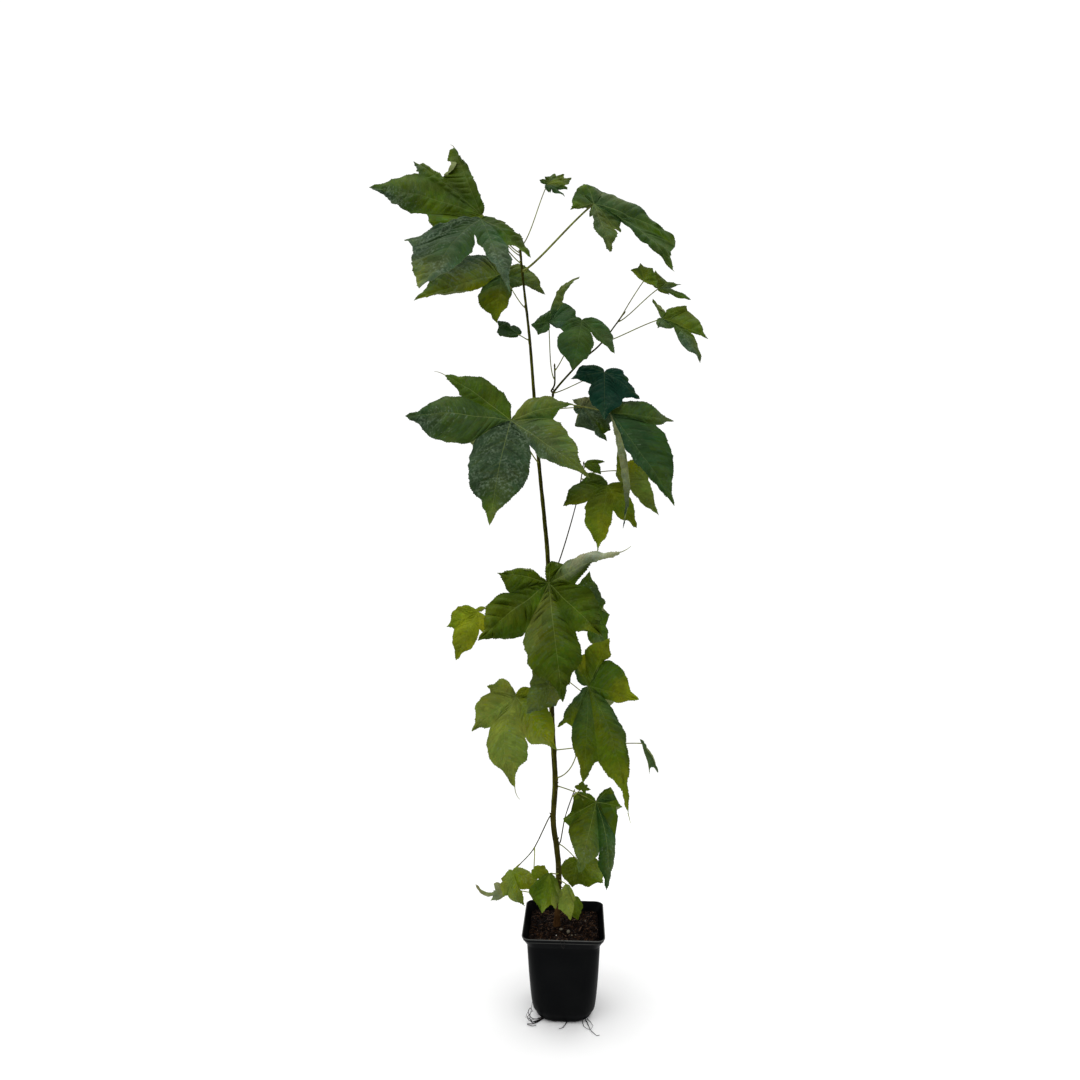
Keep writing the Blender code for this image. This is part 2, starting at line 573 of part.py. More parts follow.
def make_soil():
    shrink = POT_WALL + GAP
    low, high = POT_FLOOR + GAP, NECK_HEIGHT - GAP
    edge = SOIL_LEVEL - SOIL_DISH
    lip = (edge - NECK_HEIGHT) / (POT_HEIGHT - LIP_DEPTH - NECK_HEIGHT)
    top_half = NECK_HALF + (RIM_HALF - LIP_LEAN - NECK_HALF) * lip - LIP_WALL - GAP * 2
    outlines = [rounded_square(wall_half(low, shrink + 1.0), corner_radius(low, shrink), low),
                rounded_square(wall_half(HEEL, shrink), corner_radius(HEEL, shrink), HEEL + GAP),
                rounded_square(wall_half(WALL_RING, shrink), corner_radius(WALL_RING, shrink), WALL_RING),
                rounded_square(NECK_HALF - shrink, corner_radius(high, shrink), high),
                rounded_square(top_half, corner_radius(edge, shrink), edge)]
    for size in SOIL_RINGS:
        outline = rounded_square(top_half * size, corner_radius(SOIL_LEVEL, shrink) * size, SOIL_LEVEL)
        for k, point in enumerate(outline):
            point.z += SOIL_UNEVEN * (math.sin(k * 2.4 + size * 17) - 0.9)
        outlines.append(outline)
    outlines.append(rounded_square(top_half * 0.2, 2.0, SOIL_LEVEL))
    for point in outlines[-1]:
        point.x += STEM_ROUTE[0][0]
    bm = bmesh.new()
    rings = loft(bm, outlines)
    bm.faces.new(rings[0][::-1])
    bm.faces.new(rings[-1])
    add_object("soil", bm, "soil")


def main():
    clear_scene()
    make_pot()
    make_soil()
    limbs = {"stem": make_stem()}
    for name, (parent, height, points, thick, thin) in TWIGS.items():
        limbs[name] = make_twig(name, limbs[parent], height, points, thick, thin)
    for name, row in LEAVES.items():
        make_leaf(name, Leaf(*row), limbs)


main()
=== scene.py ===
"""Potted sweetgum sapling: bark, buds, toothed and veined leaves, peat and pot, built round a fixed frame.

Tables and shapes are in millimetres, objects in metres; +Z is up and the viewer stands at -Y.
Every piece rides on the body of the frame and hides the frame's plain solids that it is built in place of.
"""
import math
import random
from collections import namedtuple

import bmesh
import bpy
from bpy.props import FloatProperty, FloatVectorProperty, IntProperty, PointerProperty
from mathutils import Matrix, Vector, noise


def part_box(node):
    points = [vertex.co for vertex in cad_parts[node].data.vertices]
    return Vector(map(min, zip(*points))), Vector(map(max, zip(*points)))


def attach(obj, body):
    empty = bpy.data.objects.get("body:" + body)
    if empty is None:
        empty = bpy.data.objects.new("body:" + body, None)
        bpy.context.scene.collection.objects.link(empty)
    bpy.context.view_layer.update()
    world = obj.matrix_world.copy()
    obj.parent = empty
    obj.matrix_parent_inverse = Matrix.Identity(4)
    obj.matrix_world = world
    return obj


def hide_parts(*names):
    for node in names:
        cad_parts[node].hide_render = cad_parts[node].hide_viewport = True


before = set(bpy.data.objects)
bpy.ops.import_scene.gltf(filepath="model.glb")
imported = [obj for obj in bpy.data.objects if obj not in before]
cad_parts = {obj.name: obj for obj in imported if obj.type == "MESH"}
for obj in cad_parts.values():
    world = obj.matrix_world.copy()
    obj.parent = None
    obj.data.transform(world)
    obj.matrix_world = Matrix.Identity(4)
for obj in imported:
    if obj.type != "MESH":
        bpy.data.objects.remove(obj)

bl_info = {
    "name": "Potted sweetgum sapling",
    "version": (1, 0, 0),
    "blender": (4, 5, 0),
    "location": "3D View > Sidebar > Sapling",
    "description": "Leaves, bark, buds, peat and pot of a young sweetgum",
    "category": "Object",
}

MM = 0.001
UP = Vector((0.0, 0.0, 1.0))
FULL_TURN = 6.28                # radians, for turns by chance
BODY = "root"
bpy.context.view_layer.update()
SOIL_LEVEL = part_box("stem")[0].z / MM
POT_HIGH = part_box("pot")[1]
POT_HEIGHT = POT_HIGH.z / MM
RIM_HALF = POT_HIGH.x / MM

# ---- limbs: route points (x, y, z) and diameters at the two ends -------------------------------
STEM_ROUTE = [(-8, 0, 90.3), (-6, -1, 149), (-8, -1, 176), (-12, 0, 208), (-10, 1, 254), (-13, 1, 310),
              (-16, 0, 410), (-18, -1, 497), (-22, 0, 547), (-29, 1, 619), (-38, 1, 742), (-47, 0, 825),
              (-50, 0, 866)]
STEM_FLARE = 14.0               # height over which the foot widens into the root flare
TWIGS = {
    # parent, height on it, route after that point, diameter at its foot and at its tip
    "twig_right": ("stem", 649, [(-14, 12, 685), (-10, 13, 696), (19, 14, 728), (42, 13, 748),
                                 (67, 10, 780)], 3.0, 1.5),
    "twig_upper": ("twig_right", 693, [(-11, 15, 703), (-11, 14, 722)], 2.2, 1.6),
    "twig_middle": ("stem", 490, [(-6, 9, 499), (13, 14, 563), (22, 16, 611)], 1.6, 1.1),
    "twig_low_right": ("stem", 184, [(0, -1, 207), (3, 0, 218), (11, 2, 240)], 1.5, 1.1),
    "twig_low_left": ("stem", 212, [(-33, -10, 181), (-48, -12, 164), (-55, -13, 157)], 1.5, 1.0),
}

# ---- leaves: limb, height of the bud on it, hub of the blade, way it faces (degrees to the right,
# degrees up), and its lobes clockwise from the stalk. A lobe is its tip (turn, reach), its half
# width before and after the rib (None: the usual shape), the bottom of the notch after it, and how
# far its rib bends clockwise. Last: how far the stalk sets off square to the limb.
LEAVES = {
    "leaf_01": ("stem", 855, (-20, 25, 936), (10, 40),
                [(311, 12, None, None, (347, 10)), (17, 25, None, 6, (30, 18)), (42, 29, 5, 6, (55, 20)),
                 (61, 32, 5, 8, (88, 20)), (111, 25, 5, 3, (124, 12)), (139, 31, 3, 3, (152, 11)),
                 (165, 14)]),
    "leaf_02": ("stem", 848, (-95, 12, 897), (-15, 15),
                [(233, 66, None, None, (278, 67)), (293, 160, 16, 21, (309, 101)),
                 (315, 128, 10, 5, (319, 74)), (339, 104, 31, 8)]),
    "leaf_03": ("stem", 836, (-91, -22, 878), (-5, 35),
                [(138, 88, 14, 4, (146, 58)), (160, 116, 12, 9, (187, 30)),
                 (209, 113, 22, 29, (242, 81)), (252, 86, None, 6)]),
    "leaf_04": ("stem", 827, (33, -12, 896), (25, 25),
                [(243, 28, 2, 14, (307, 24)), (340, 30, None, 11, (33, 25)),
                 (105, 94, 19, 10, (113, 101)), (131, 117, 14, 8, (121, 36), -10),
                 (140, 45, 8, None, (146, 37)), (165, 66, 13, 10, (183, 13)), (193, 20, None, 2)]),
    "leaf_05": ("stem", 786, (-73, 24, 833), (0, 15),
                [(118, 58, 22, 3, (145, 23)), (184, 61, 11, 21, (232, 27)), (252, 106, 12, 40)]),
    "leaf_06": ("twig_right", 777, (88, -15, 809), (0, 30),
                [(316, 20, 2, 6, (342, 19)), (354, 25, None, 6, (22, 19)), (32, 20, None, 6, (91, 14)),
                 (124, 18, None, 2)]),
    "leaf_07": ("twig_right", 772, (108, 20, 812), (15, 30),
                [(354, 25, 8, 7, (45, 15)), (72, 29, 3, 2, (85, 13)), (110, 39, 5, 4, (118, 12)),
                 (125, 14)]),
    "leaf_08": ("twig_right", 750, (108, -15, 767), (25, 25),
                [(338, 26, 1, 8, (32, 6)), (55, 36, 5, None, (64, 34)), (110, 56, 21, 3, (117, 34)),
                 (142, 65, 10, 9, (130, 16), -9), (205, 15, 10)]),
    "leaf_09": ("twig_upper", 708, (-18, 10, 772), (-10, 35),
                [(211, 21, 8, None, (237, 17)), (268, 20, None, 17, (25, 29)),
                 (28, 76, 7, 5, (32, 32), -9), (95, 37, 24, 15)]),
    "leaf_10": ("twig_upper", 718, (20, -25, 764), (10, 25),
                [(140, 54, 17, 3, (152, 18)), (189, 64, 15, 20, (232, 25)), (246, 24)]),
    "leaf_11": ("stem", 750, (-53, 15, 760), (-10, 40),
                [(268, 21, None, None, (301, 29)), (311, 36, None, 5, (323, 16)), (340, 15)]),
    "leaf_12": ("twig_right", 692, (45, -5, 711), (5, 30),
                [(107, 27, 9, None, (117, 29)), (130, 50, 6, 9, (149, 38)),
                 (181, 59, 15, 15, (224, 21)), (257, 38, 5, None, (272, 31)), (289, 25, None, 5)]),
    "leaf_13": ("twig_right", 674, (21, 25, 677), (-10, 20),
                [(313, 17, 1, 9, (28, 15)), (97, 34, None, None, (116, 37)),
                 (132, 42, None, None, (144, 40)), (146, 49, None, None, (155, 32)),
                 (201, 24, 13, None, (212, 9)), (291, 12, None, 1)]),
    "leaf_14": ("twig_right", 682, (51, -25, 662), (15, 20),
                [(95, 71, 20, 8, (104, 51)), (147, 122, 31, 10, (164, 25)),
                 (175, 127, 4, 1, None, -11)]),
    "leaf_15": ("stem", 611, (-55, -55, 650), (-8, 28),
                [(75, 68, 23, 5, (90, 45)), (128, 105, 22, 13, (144, 36)),
                 (188, 113, 28, 31, (243, 41)), (275, 119, 31, 21, (297, 61)), (307, 98, 6, 24)]),
    "leaf_16": ("twig_middle", 603, (25, 15, 613), (0, 30),
                [(88, 21, 3, None, (96, 13)), (131, 22, 6)]),
    "leaf_17": ("twig_middle", 600, (61, 25, 604), (0, 10),
                [(3, 24, 2, 5, (48, 16)), (85, 38, None, None, (107, 37)), (138, 70, 11, 5, (146, 27)),
                 (156, 25, None, 3)]),
    "leaf_18": ("twig_middle", 594, (48, -15, 584), (5, 30),
                [(107, 26, 8, None, (115, 24)), (147, 56, 10, 9, (170, 30)),
                 (189, 74, 8, 17, (229, 29)), (244, 54, 6, 15, (279, 30)), (310, 24, None, 5)]),
    "leaf_19": ("stem", 446, (-14, -80, 480), (-3, 22),
                [(5, 22, 6, 7, (38, 24)), (67, 84, 13, 2, (92, 27)), (134, 75, 23, 11, (152, 49)),
                 (172, 113, 21, 27, (205, 52)), (231, 90, 21, 23, (257, 41)), (281, 55, 11, 12)]),
    "leaf_20": ("stem", 425, (12, 50, 453), (15, 15),
                [(28, 38, 4, 15, (87, 32)), (114, 46, 11, None, (131, 48)),
                 (147, 72, 11, 12, (158, 40)), (212, 33)]),
    "leaf_21": ("stem", 474, (-100, 20, 441), (-15, 25),
                [(160, 24, 11, None, (170, 20)), (203, 58, 13, 13, (232, 34)),
                 (243, 41, None, 10, (274, 27)), (282, 25, None, 3, (312, 4)), (56, 11)]),
    "leaf_22": ("stem", 352, (-14, -90, 379), (0, 15),
                [(158, 22, 11, None, (191, 24)), (217, 35, 7, 8, (263, 18)), (308, 21, None, 8)]),
    "leaf_23": ("stem", 329, (-49, -60, 360), (-8, 22),
                [(56, 16, None, None, (91, 19)), (138, 65, 16, 16, (169, 32)),
                 (179, 84, 19, 20, (220, 40), 11), (233, 58, 6, 18, (276, 28)), (286, 33, None, 14)]),
    "leaf_24": ("stem", 256, (27, -30, 366), (12, 20),
                [(329, 29, None, None, (353, 33)), (26, 54, 16, 7, (34, 31)),
                 (106, 57, 27, 9, (128, 18)), (162, 132, 18, 10, (173, 75), -6),
                 (184, 94, 12, 11, (205, 44)), (220, 52, 5, 3)], 0.3),
    "leaf_25": ("stem", 287, (89, 20, 291), (40, 20),
                [(334, 6, None, None, (90, 3)), (150, 38, 4, 3, (158, 28)), (166, 33, 2, 1)]),
    "leaf_26": ("twig_low_right", 235, (20, -8, 247), (0, 30),
                [(287, 8, None, None, (314, 5)), (0, 7, None, None, (45, 5)),
                 (62, 8, None, None, (80, 6)), (93, 10, None, None, (107, 5)), (133, 6)]),
    "leaf_27": ("stem", 247, (36, 0, 230), (5, 20),
                [(48, 22, 3, None, (86, 24)), (100, 30, None, 12, (148, 40)),
                 (173, 86, 9, 8, (177, 48), -6), (196, 71, 13, 13, (232, 38)),
                 (244, 40, None, None, (251, 30)), (292, 24, 12, 3)]),
    "leaf_28": ("stem", 182, (15, 35, 149), (0, 20),
                [(100, 32, None, None, (114, 34)), (127, 37, None, None, (144, 30)),
                 (158, 28, None, None, (176, 24)), (193, 28, None, 9, (227, 24)), (249, 22)]),
    "leaf_29": ("twig_low_left", 163, (-57, -15, 157), (-10, 30),
                [(108, 36, 7, 8, (149, 18)), (153, 33, 3, 10, (190, 22)),
                 (200, 25, None, 6, (227, 15)), (240, 10)]),
    "leaf_30": ("twig_low_left", 181, (-32, -30, 166), (10, 40),
                [(75, 8, None, None, (89, 13)), (101, 16, None, None, (111, 16)),
                 (134, 12, None, None, (149, 9)), (186, 7)]),
    "leaf_31": ("stem", 122, (-68, 5, 127), (-10, 15),
                [(230, 20, 5, None, (240, 13)), (273, 34, 5, 2, (258, 9), -8), (292, 13)]),
    "leaf_32": ("stem", 150, (-15, -40, 166), (-5, 30),
                [(138, 17, 3, None, (151, 23)), (166, 30, None, None, (174, 26)),
                 (192, 34, 6, 8, (220, 28)), (237, 25, None, 2)]),
    "leaf_33": ("stem", 143, (3, -25, 148), (10, 25),
                [(142, 16, 2, None, (153, 18)), (171, 32, 4, 6, (194, 23)), (202, 22, None, 3)]),
    "leaf_34": ("stem", 134, (12, 5, 120), (20, 25),
                [(130, 10, None, None, (152, 15)), (171, 21, None, None, (185, 18)), (190, 15)]),
    "leaf_35": ("stem", 650, (-73, 60, 648), (170, 20),
                [(31, 54), (78, 58), (184, 64), (240, 26), (296, 48)]),
    "leaf_36": ("stem", 375, (37, 70, 324), (192, 15),
                [(77, 28), (147, 42), (190, 48), (294, 30), (355, 43)]),
    "leaf_37": ("stem", 845, (-113, 80, 937), (165, 25),
                [(349, 10), (24, 48), (72, 59), (131, 62), (178, 24)]),
    "leaf_38": ("stem", 345, (-76, 55, 327), (165, 15),
                [(9, 25), (114, 29), (184, 58), (233, 58), (279, 33)]),
}

SPREAD = 0.08
Leaf = namedtuple("Leaf", "limb height hub facing lobes spread", defaults=(SPREAD,))
Lobe = namedtuple("Lobe", "turn reach before after notch bend", defaults=(None, None, None, 0))
STALK_BOW = 0.04                # how far a stalk arches up, against its length
ARCH = 0.05                     # how far a lobe bows out of its plane, against its length
DROOP = 0.12                    # how far the margins hang back, against their distance from the rib
NEAR, FAR = 0.33, 0.7           # where a margin's two control points stand between notch and tip
BELLY = 0.26                    # bulge of a usual margin outside the straight line, against its length
BELLY_END = 0.14                # the same near the tip
WIDEST = 0.45                   # where along a margin its measured half width is
PULL_END = 0.6                  # pull of its second control point there, against the first
BEND_NEAR, BEND_FAR = 0.9, 0.7  # how much of the rib's bend the two control points take
USUAL_NOTCH = 0.45              # reach of a notch, against the shorter lobe beside it
OUTER_HALF = 0.24               # half width beside the stalk, against the lobe's length
OUTER_TURN = 0.42               # how far that margin sets off toward the stalk, against the open angle
OUTER_SHARE = 0.75              # a curve's widest place, against the pull of its control points
OUTER_FAR = 0.6                 # where its second control point stands along the rib

# ---- the finer build of a blade ----------------------------------------------------------------
COLUMNS = (0.0, 0.16, 0.34, 0.52, 0.68, 0.82, 0.92, 1.0)    # places from the midrib out to the margin
CURLED = (0.0, 0.3, 0.52, 0.64, 0.74, 0.83, 0.92, 1.0)     # the same where the margin curls over
ROW_PITCH = 1.3                 # rows of points along a margin
RIB_PITCH = 1.6
VEIN_SLANT = 0.7                # how far a side vein runs forward, against how far it runs out
VEIN_BOW = 0.06                 # how far a side vein bows back on its way, against its length
VEIN_EDGE = 0.05                # half width of a side vein at the margin
VEIN_ROOT = 0.17                # half width of a side vein at the midrib
VEIN_REACH = (4, 6)             # columns a side vein crosses, between lobes and in a free lobe
UNEVEN = 0.22                   # how far side veins stray from even spacing
FULL_SIZE = 110.0               # reach of a full-grown leaf
DOME = 0.04                     # how far half a lobe arches between rib and margin, against its width
SWELL_WAVE = 34.0               # length of the slow waves in a blade
PUCKER_WAVE = 8.5               # length of the puckers between the veins
QUILT_UNEVEN, QUILT_WAVE = 1.7, 17.0    # how unevenly a blade is quilted, over which length
RUFFLE_WAVE = 17.0              # length of the ruffles along a margin
WOBBLE, WOBBLE_WAVES = 2.5, (13.0, 5.0)       # how far a margin strays from its curve, over which lengths
TAPER_FROM, TAPER_TO = 0.68, 0.9     # where along its rib a lobe narrows into its drawn-out tip
TAPER = 0.5                     # how much narrower it gets there
RIB_SHOWS = {"faint": 0.16, "clear": 0.4}    # how much of their own colour ribs have over the tint's
VEIN_SHOWS = {"faint": 0.06, "clear": 0.2}   # the same for side veins
CLEAR_RIBS = ("leaf_15", "leaf_19", "leaf_23", "leaf_04", "leaf_27", "leaf_28")
FADE = 0.42                     # length over which a tint gives way to the next, against the rib's
ACROSS = 0.75                   # how far out from a rib the tints on its two sides blend
TONES = ((26.0, 0.28), (9.0, 0.18), (2.7, 0.16))     # light and dark patches: how long, how strong
HUES = ((20.0, 0.2),)          # greener and yellower patches
LIGHT_STEP, RED_STEP, BLUE_STEP = 0.17, 0.1, 0.13   # rungs of the ladder of base colours
SHADE, NET = 0.74, 1.7          # how dark the shaded patches of a base colour are, how light its veinlets
LOOSE = 0.4                     # how far a face may miss its rung, which keeps edges out of the blends
LONG_TIPS = {                   # lobe: where its tip sets off, where it is drawn out, and how far
    ("leaf_24", 3): (0.68, 0.8, 0.6),
    ("leaf_14", 2): (0.75, 0.95, 0.3),
    ("leaf_03", 2): (0.8, 1.0, 0.25),
    ("leaf_09", 2): (0.0, 0.2, 0.2),
}
THICK_STALKS = {"leaf_04": 2.0, "leaf_15": 1.15, "leaf_19": 1.15}

# ---- tints of the leaves' upper sides: the colour, and the share of its faces that dust lies on -----
TINTS = {
    "deep": ("#2e4b1e", 0.0),
    "mid": ("#3c5421", 0.0),
    "grey": ("#45592f", 0.35),
    "frosted": ("#2c4025", 1.0),
    "hoary": ("#42573a", 1.0),
    "teal": ("#2b472c", 0.25),
    "blue": ("#0c3424", 0.0),
    "dark": ("#23400d", 0.0),
    "olive": ("#3b4e00", 0.0),
    "verdant": ("#48610f", 0.0),
    "moss": ("#4f6108", 0.0),
    "sage": ("#55652a", 0.12),
    "wan": ("#616e2c", 0.12),
    "fresh": ("#5e6e06", 0.0),
    "bright": ("#788508", 0.0),
    "pale": ("#6f7f2c", 0.1),
    "rusty": ("#475430", 0.5),
    "ashen": ("#767c52", 0.4),
    "bleached": ("#9ba080", 0.0),
}
# Which tint each leaf has, then the tints of single sectors, which lie between two ribs and are
# counted clockwise from the stalk, or with (lobe, 0 or 1) of the half before or after a rib. A tint
# may change on the way out: (near, far, where along the rib). Last: how crumpled the blade is.
LOOKS = {
    "leaf_01": ("dark", {1: "olive", 2: ("olive", "moss", 0.5), 3: "fresh",
                         4: ("moss", "olive", 0.5)}, 3.0),
    "leaf_02": ("olive", {0: "moss", 1: ("verdant", "frosted", 0.55), 2: ("olive", "mid", 0.75),
                          (1, 1): ("olive", "verdant", 0.6), (2, 0): ("olive", "teal", 0.8),
                          3: ("olive", "moss", 0.5), 4: ("olive", "dark", 0.8)}, 1.8),
    "leaf_03": ("frosted", {0: "olive", 1: ("dark", "verdant", 0.5), (1, 0): ("deep", "hoary", 0.4),
                            (1, 1): ("deep", "hoary", 0.5), (2, 0): ("deep", "hoary", 0.6),
                            (2, 1): ("frosted", "wan", 0.6), (3, 0): ("frosted", "grey", 0.8)}, 1.9),
    "leaf_04": ("mid", {0: "sage", 1: ("mid", "verdant", 0.4), 2: ("grey", "mid", 0.4),
                        3: ("mid", "verdant", 0.6), 4: ("deep", "mid", 0.6), 5: "sage", 6: "grey"}, 1.8),
    "leaf_05": ("fresh", {0: "sage", 1: ("mid", "sage", 0.3), (1, 0): ("mid", "bright", 0.4),
                          (1, 1): ("mid", "fresh", 0.3), (2, 0): "bright",
                          3: ("hoary", "verdant", 0.6)}, 1.8),
    "leaf_06": ("fresh", {1: "olive", 3: "verdant"}, 2.4),
    "leaf_07": ("moss", {2: ("grey", "mid", 0.5), 3: "verdant"}, 1.8),
    "leaf_08": ("mid", {0: "grey", 1: ("verdant", "moss", 0.3), 2: "moss", 3: ("moss", "verdant", 0.6),
                        (3, 0): ("verdant", "sage", 0.4), 4: ("mid", "hoary", 0.4), 5: "grey"}, 1.9),
    "leaf_09": ("deep", {(2, 0): ("deep", "wan", 0.3), (2, 1): ("deep", "sage", 0.3), 4: "teal"}, 1.6),
    "leaf_10": ("deep", {(0, 0): ("deep", "grey", 0.4), 1: "mid"}, 1.4),
    "leaf_11": ("dark", {}, 2.0),
    "leaf_12": ("blue", {1: ("blue", "dark", 0.8), 3: ("blue", "teal", 0.8), (4, 1): "teal"}, 1.9),
    "leaf_13": ("hoary", {0: "ashen", 1: ("ashen", "hoary", 0.5), 3: ("rusty", "verdant", 0.5)}, 2.6),
    "leaf_14": ("dark", {0: ("mid", "rusty", 0.7), (0, 1): ("mid", "rusty", 0.8), 1: ("deep", "mid", 0.6),
                         (1, 1): ("teal", "deep", 0.5), (2, 0): ("ashen", "blue", 0.74),
                         3: ("ashen", "blue", 0.76)}, 1.3),
    "leaf_15": ("mid", {0: ("wan", "sage", 0.5), 1: ("mid", "verdant", 0.5), (1, 0): "sage",
                        (1, 1): ("hoary", "sage", 0.6), (2, 0): ("frosted", "sage", 0.7),
                        (2, 1): ("frosted", "verdant", 0.75), 3: ("mid", "frosted", 0.5),
                        4: ("mid", "deep", 0.8), (4, 0): ("verdant", "olive", 0.5),
                        5: ("olive", "verdant", 0.5)}, 1.6),
    "leaf_16": ("verdant", {}, 1.8),
    "leaf_17": ("pale", {1: "bright"}, 1.6),
    "leaf_18": ("moss", {1: "fresh", 2: "fresh", (2, 0): ("fresh", "bright", 0.6),
                         3: ("moss", "fresh", 0.4), 4: "olive", 5: "olive"}, 1.3),
    "leaf_19": ("olive", {0: "moss", (1, 0): ("verdant", "bleached", 0.22),
                          (1, 1): ("olive", "ashen", 0.6), (2, 1): ("olive", "moss", 0.6), (3, 0): "olive",
                          (3, 1): ("wan", "olive", 0.45), (4, 0): ("verdant", "olive", 0.3),
                          5: ("olive", "moss", 0.4), 6: "moss"}, 3.2),
    "leaf_20": ("verdant", {1: ("grey", "verdant", 0.5), 3: ("verdant", "ashen", 0.7)}, 1.7),
    "leaf_21": ("bright", {2: ("bright", "fresh", 0.6)}, 1.9),
    "leaf_22": ("sage", {0: "wan", 1: ("sage", "hoary", 0.7)}, 1.8),
    "leaf_23": ("pale", {0: "bright", 1: ("fresh", "bright", 0.4), 3: ("pale", "sage", 0.7)}, 1.7),
    "leaf_24": ("mid", {0: "deep", 1: ("moss", "bright", 0.5), 2: ("verdant", "bright", 0.4),
                        (2, 1): ("verdant", "bright", 0.4), (3, 0): ("mid", "fresh", 0.5),
                        (3, 1): ("moss", "fresh", 0.4), (4, 0): ("mid", "moss", 0.4),
                        5: ("mid", "fresh", 0.5), 6: ("teal", "mid", 0.4)}, 1.9),
    "leaf_25": ("grey", {0: "dark"}, 1.8),
    "leaf_26": ("moss", {}, 1.8),
    "leaf_27": ("verdant", {0: "olive", 1: ("deep", "moss", 0.4), 2: ("moss", "verdant", 0.5),
                            (2, 0): ("deep", "grey", 0.35), (2, 1): "dark",
                            (3, 0): ("mid", "sage", 0.5), (3, 1): ("moss", "sage", 0.5),
                            5: ("olive", "moss", 0.6)}, 2.4),
    "leaf_28": ("moss", {1: ("fresh", "pale", 0.4), 2: ("moss", "fresh", 0.4)}, 1.8),
    "leaf_29": ("pale", {1: "fresh", 2: ("pale", "sage", 0.6)}, 1.7),
    "leaf_30": ("fresh", {}, 1.7),
    "leaf_31": ("ashen", {}, 1.7),
    "leaf_32": ("olive", {1: ("olive", "sage", 0.6), 2: ("moss", "pale", 0.7)}, 1.7),
    "leaf_33": ("pale", {1: ("sage", "pale", 0.4)}, 1.7),
    "leaf_34": ("moss", {}, 1.6),
    "leaf_35": ("deep", {1: "mid", 3: "frosted"}, 1.5),
    "leaf_36": ("mid", {2: ("mid", "moss", 0.5)}, 1.5),
    "leaf_37": ("mid", {2: ("verdant", "moss", 0.5)}, 1.5),
    "leaf_38": ("moss", {3: "sage", 1: ("moss", "fresh", 0.5)}, 1.5),
}
FOLD = 0.4                      # share of a curl's width that bends; the rest lies straight
# Margins that curl over toward the face and show the underside: lobe, half before or after its rib,
# where along the margin the curl starts and ends, its width and how far it turns in degrees.
CURLS = {
    "leaf_02": [(3, 0, 0.0, 0.62, 15.0, 160)],
    "leaf_05": [(2, 0, 0.2, 0.8, 5.0, 120)],
    "leaf_08": [(0, 1, 0.1, 0.9, 5.0, 170)],
    "leaf_13": [(1, 0, 0.1, 0.9, 6.0, 200), (4, 1, 0.1, 0.8, 6.0, 170)],
    "leaf_19": [(5, 1, 0.1, 0.8, 4.0, 150)],
    "leaf_20": [(1, 0, 0.35, 0.9, 6.0, 160)],
    "leaf_24": [(3, 0, 0.3, 0.8, 4.0, 120)],
    "leaf_25": [(1, 0, 0.1, 0.8, 5.0, 180)],
    "leaf_27": [(1, 1, 0.2, 0.9, 6.0, 150)],
    "leaf_31": [(1, 1, 0.1, 0.8, 5.0, 160)],
}
# Thin dry tails drawn out of a lobe's tip: lobe, length, and how far the tail bends clockwise.
TAILS = {
    "leaf_02": [(3, 8.0, -50)],
    "leaf_15": [(4, 15.0, -30)],
    "leaf_19": [(1, 9.0, -25)],
    "leaf_23": [(2, 14.0, -50)],
    "leaf_24": [(3, 8.0, 10)],
}


# ---- sizes and colours a user may change --------------------------------------------------------
def linear(hex_colour):
    """The linear RGB of an sRGB hex colour."""
    channels = [int(hex_colour[k:k + 2], 16) / 255 for k in (1, 3, 5)]
    return tuple(c / 12.92 if c <= 0.04045 else ((c + 0.055) / 1.055) ** 2.4 for c in channels)


def size(name, description, millimetres):
    return FloatProperty(name=name, description=description, unit="LENGTH", min=0.0,
                         default=millimetres * MM, precision=4)


def colour(name, description, hex_colour):
    return FloatVectorProperty(name=name, description=description, subtype="COLOR", size=3,
                               min=0.0, max=1.0, default=linear(hex_colour))


class LeafSettings(bpy.types.PropertyGroup):
    thickness: size("Blade thickness", "Thickness of a leaf blade", 0.36)
    tooth: size("Tooth height", "How far the fine teeth stand out of the margin", 0.55)
    tooth_pitch: size("Tooth spacing", "Distance from one tooth to the next", 2.6)
    scallop: size("Scallop", "How far the margin swells out between two side veins", 0.45)
    vein_pitch: size("Side vein spacing", "Distance between side veins on a full-grown leaf", 14.0)
    quilt: size("Quilting", "How far a full-grown blade bulges between its side veins", 0.9)
    swell: size("Waves", "Height of the slow waves in a blade", 2.6)
    pucker: size("Puckers", "Height of the small puckers between the veins", 0.45)
    ruffle: size("Ruffles", "Height of the ruffles along the margins", 2.0)
    rib_width: size("Midrib width", "Width of a full-grown leaf's midrib at the hub", 1.0)
    rib_rise: size("Midrib height", "How far a midrib stands out under the blade", 0.45)
    stalk: size("Stalk thickness", "Thickness of a stalk halfway along", 1.2)
    vein_colour: colour("Veins", "Colour of the ribs and veins on the upper side", "#8b9a52")
    under_colour: colour("Underside", "Colour of the blade's paler, dull underside", "#727d4a")
    stalk_colour: colour("Stalks", "Colour of the leaf stalks", "#8d9742")


class LimbSettings(bpy.types.PropertyGroup):
    sole: size("Sole", "Width of the stem's flat cut on the peat", 9.5)
    foot: size("Foot", "Diameter of the stem above its root flare", 6.4)
    top: size("Top", "Diameter of the stem at its tip", 2.2)
    relief: size("Bark relief", "Depth of the bark's fine furrows", 0.16)
    node_swell: size("Node swelling", "How far the limb swells below a bud", 0.5)
    bud: size("Bud length", "Length of a bud in the angle of a stalk", 3.4)
    old_bark: colour("Old bark", "Colour of the bark near the foot", "#3b3a0b")
    young_bark: colour("Young bark", "Colour of the bark near the tip", "#3b3a08")
    bud_colour: colour("Buds", "Colour of the bud scales", "#5d5a28")


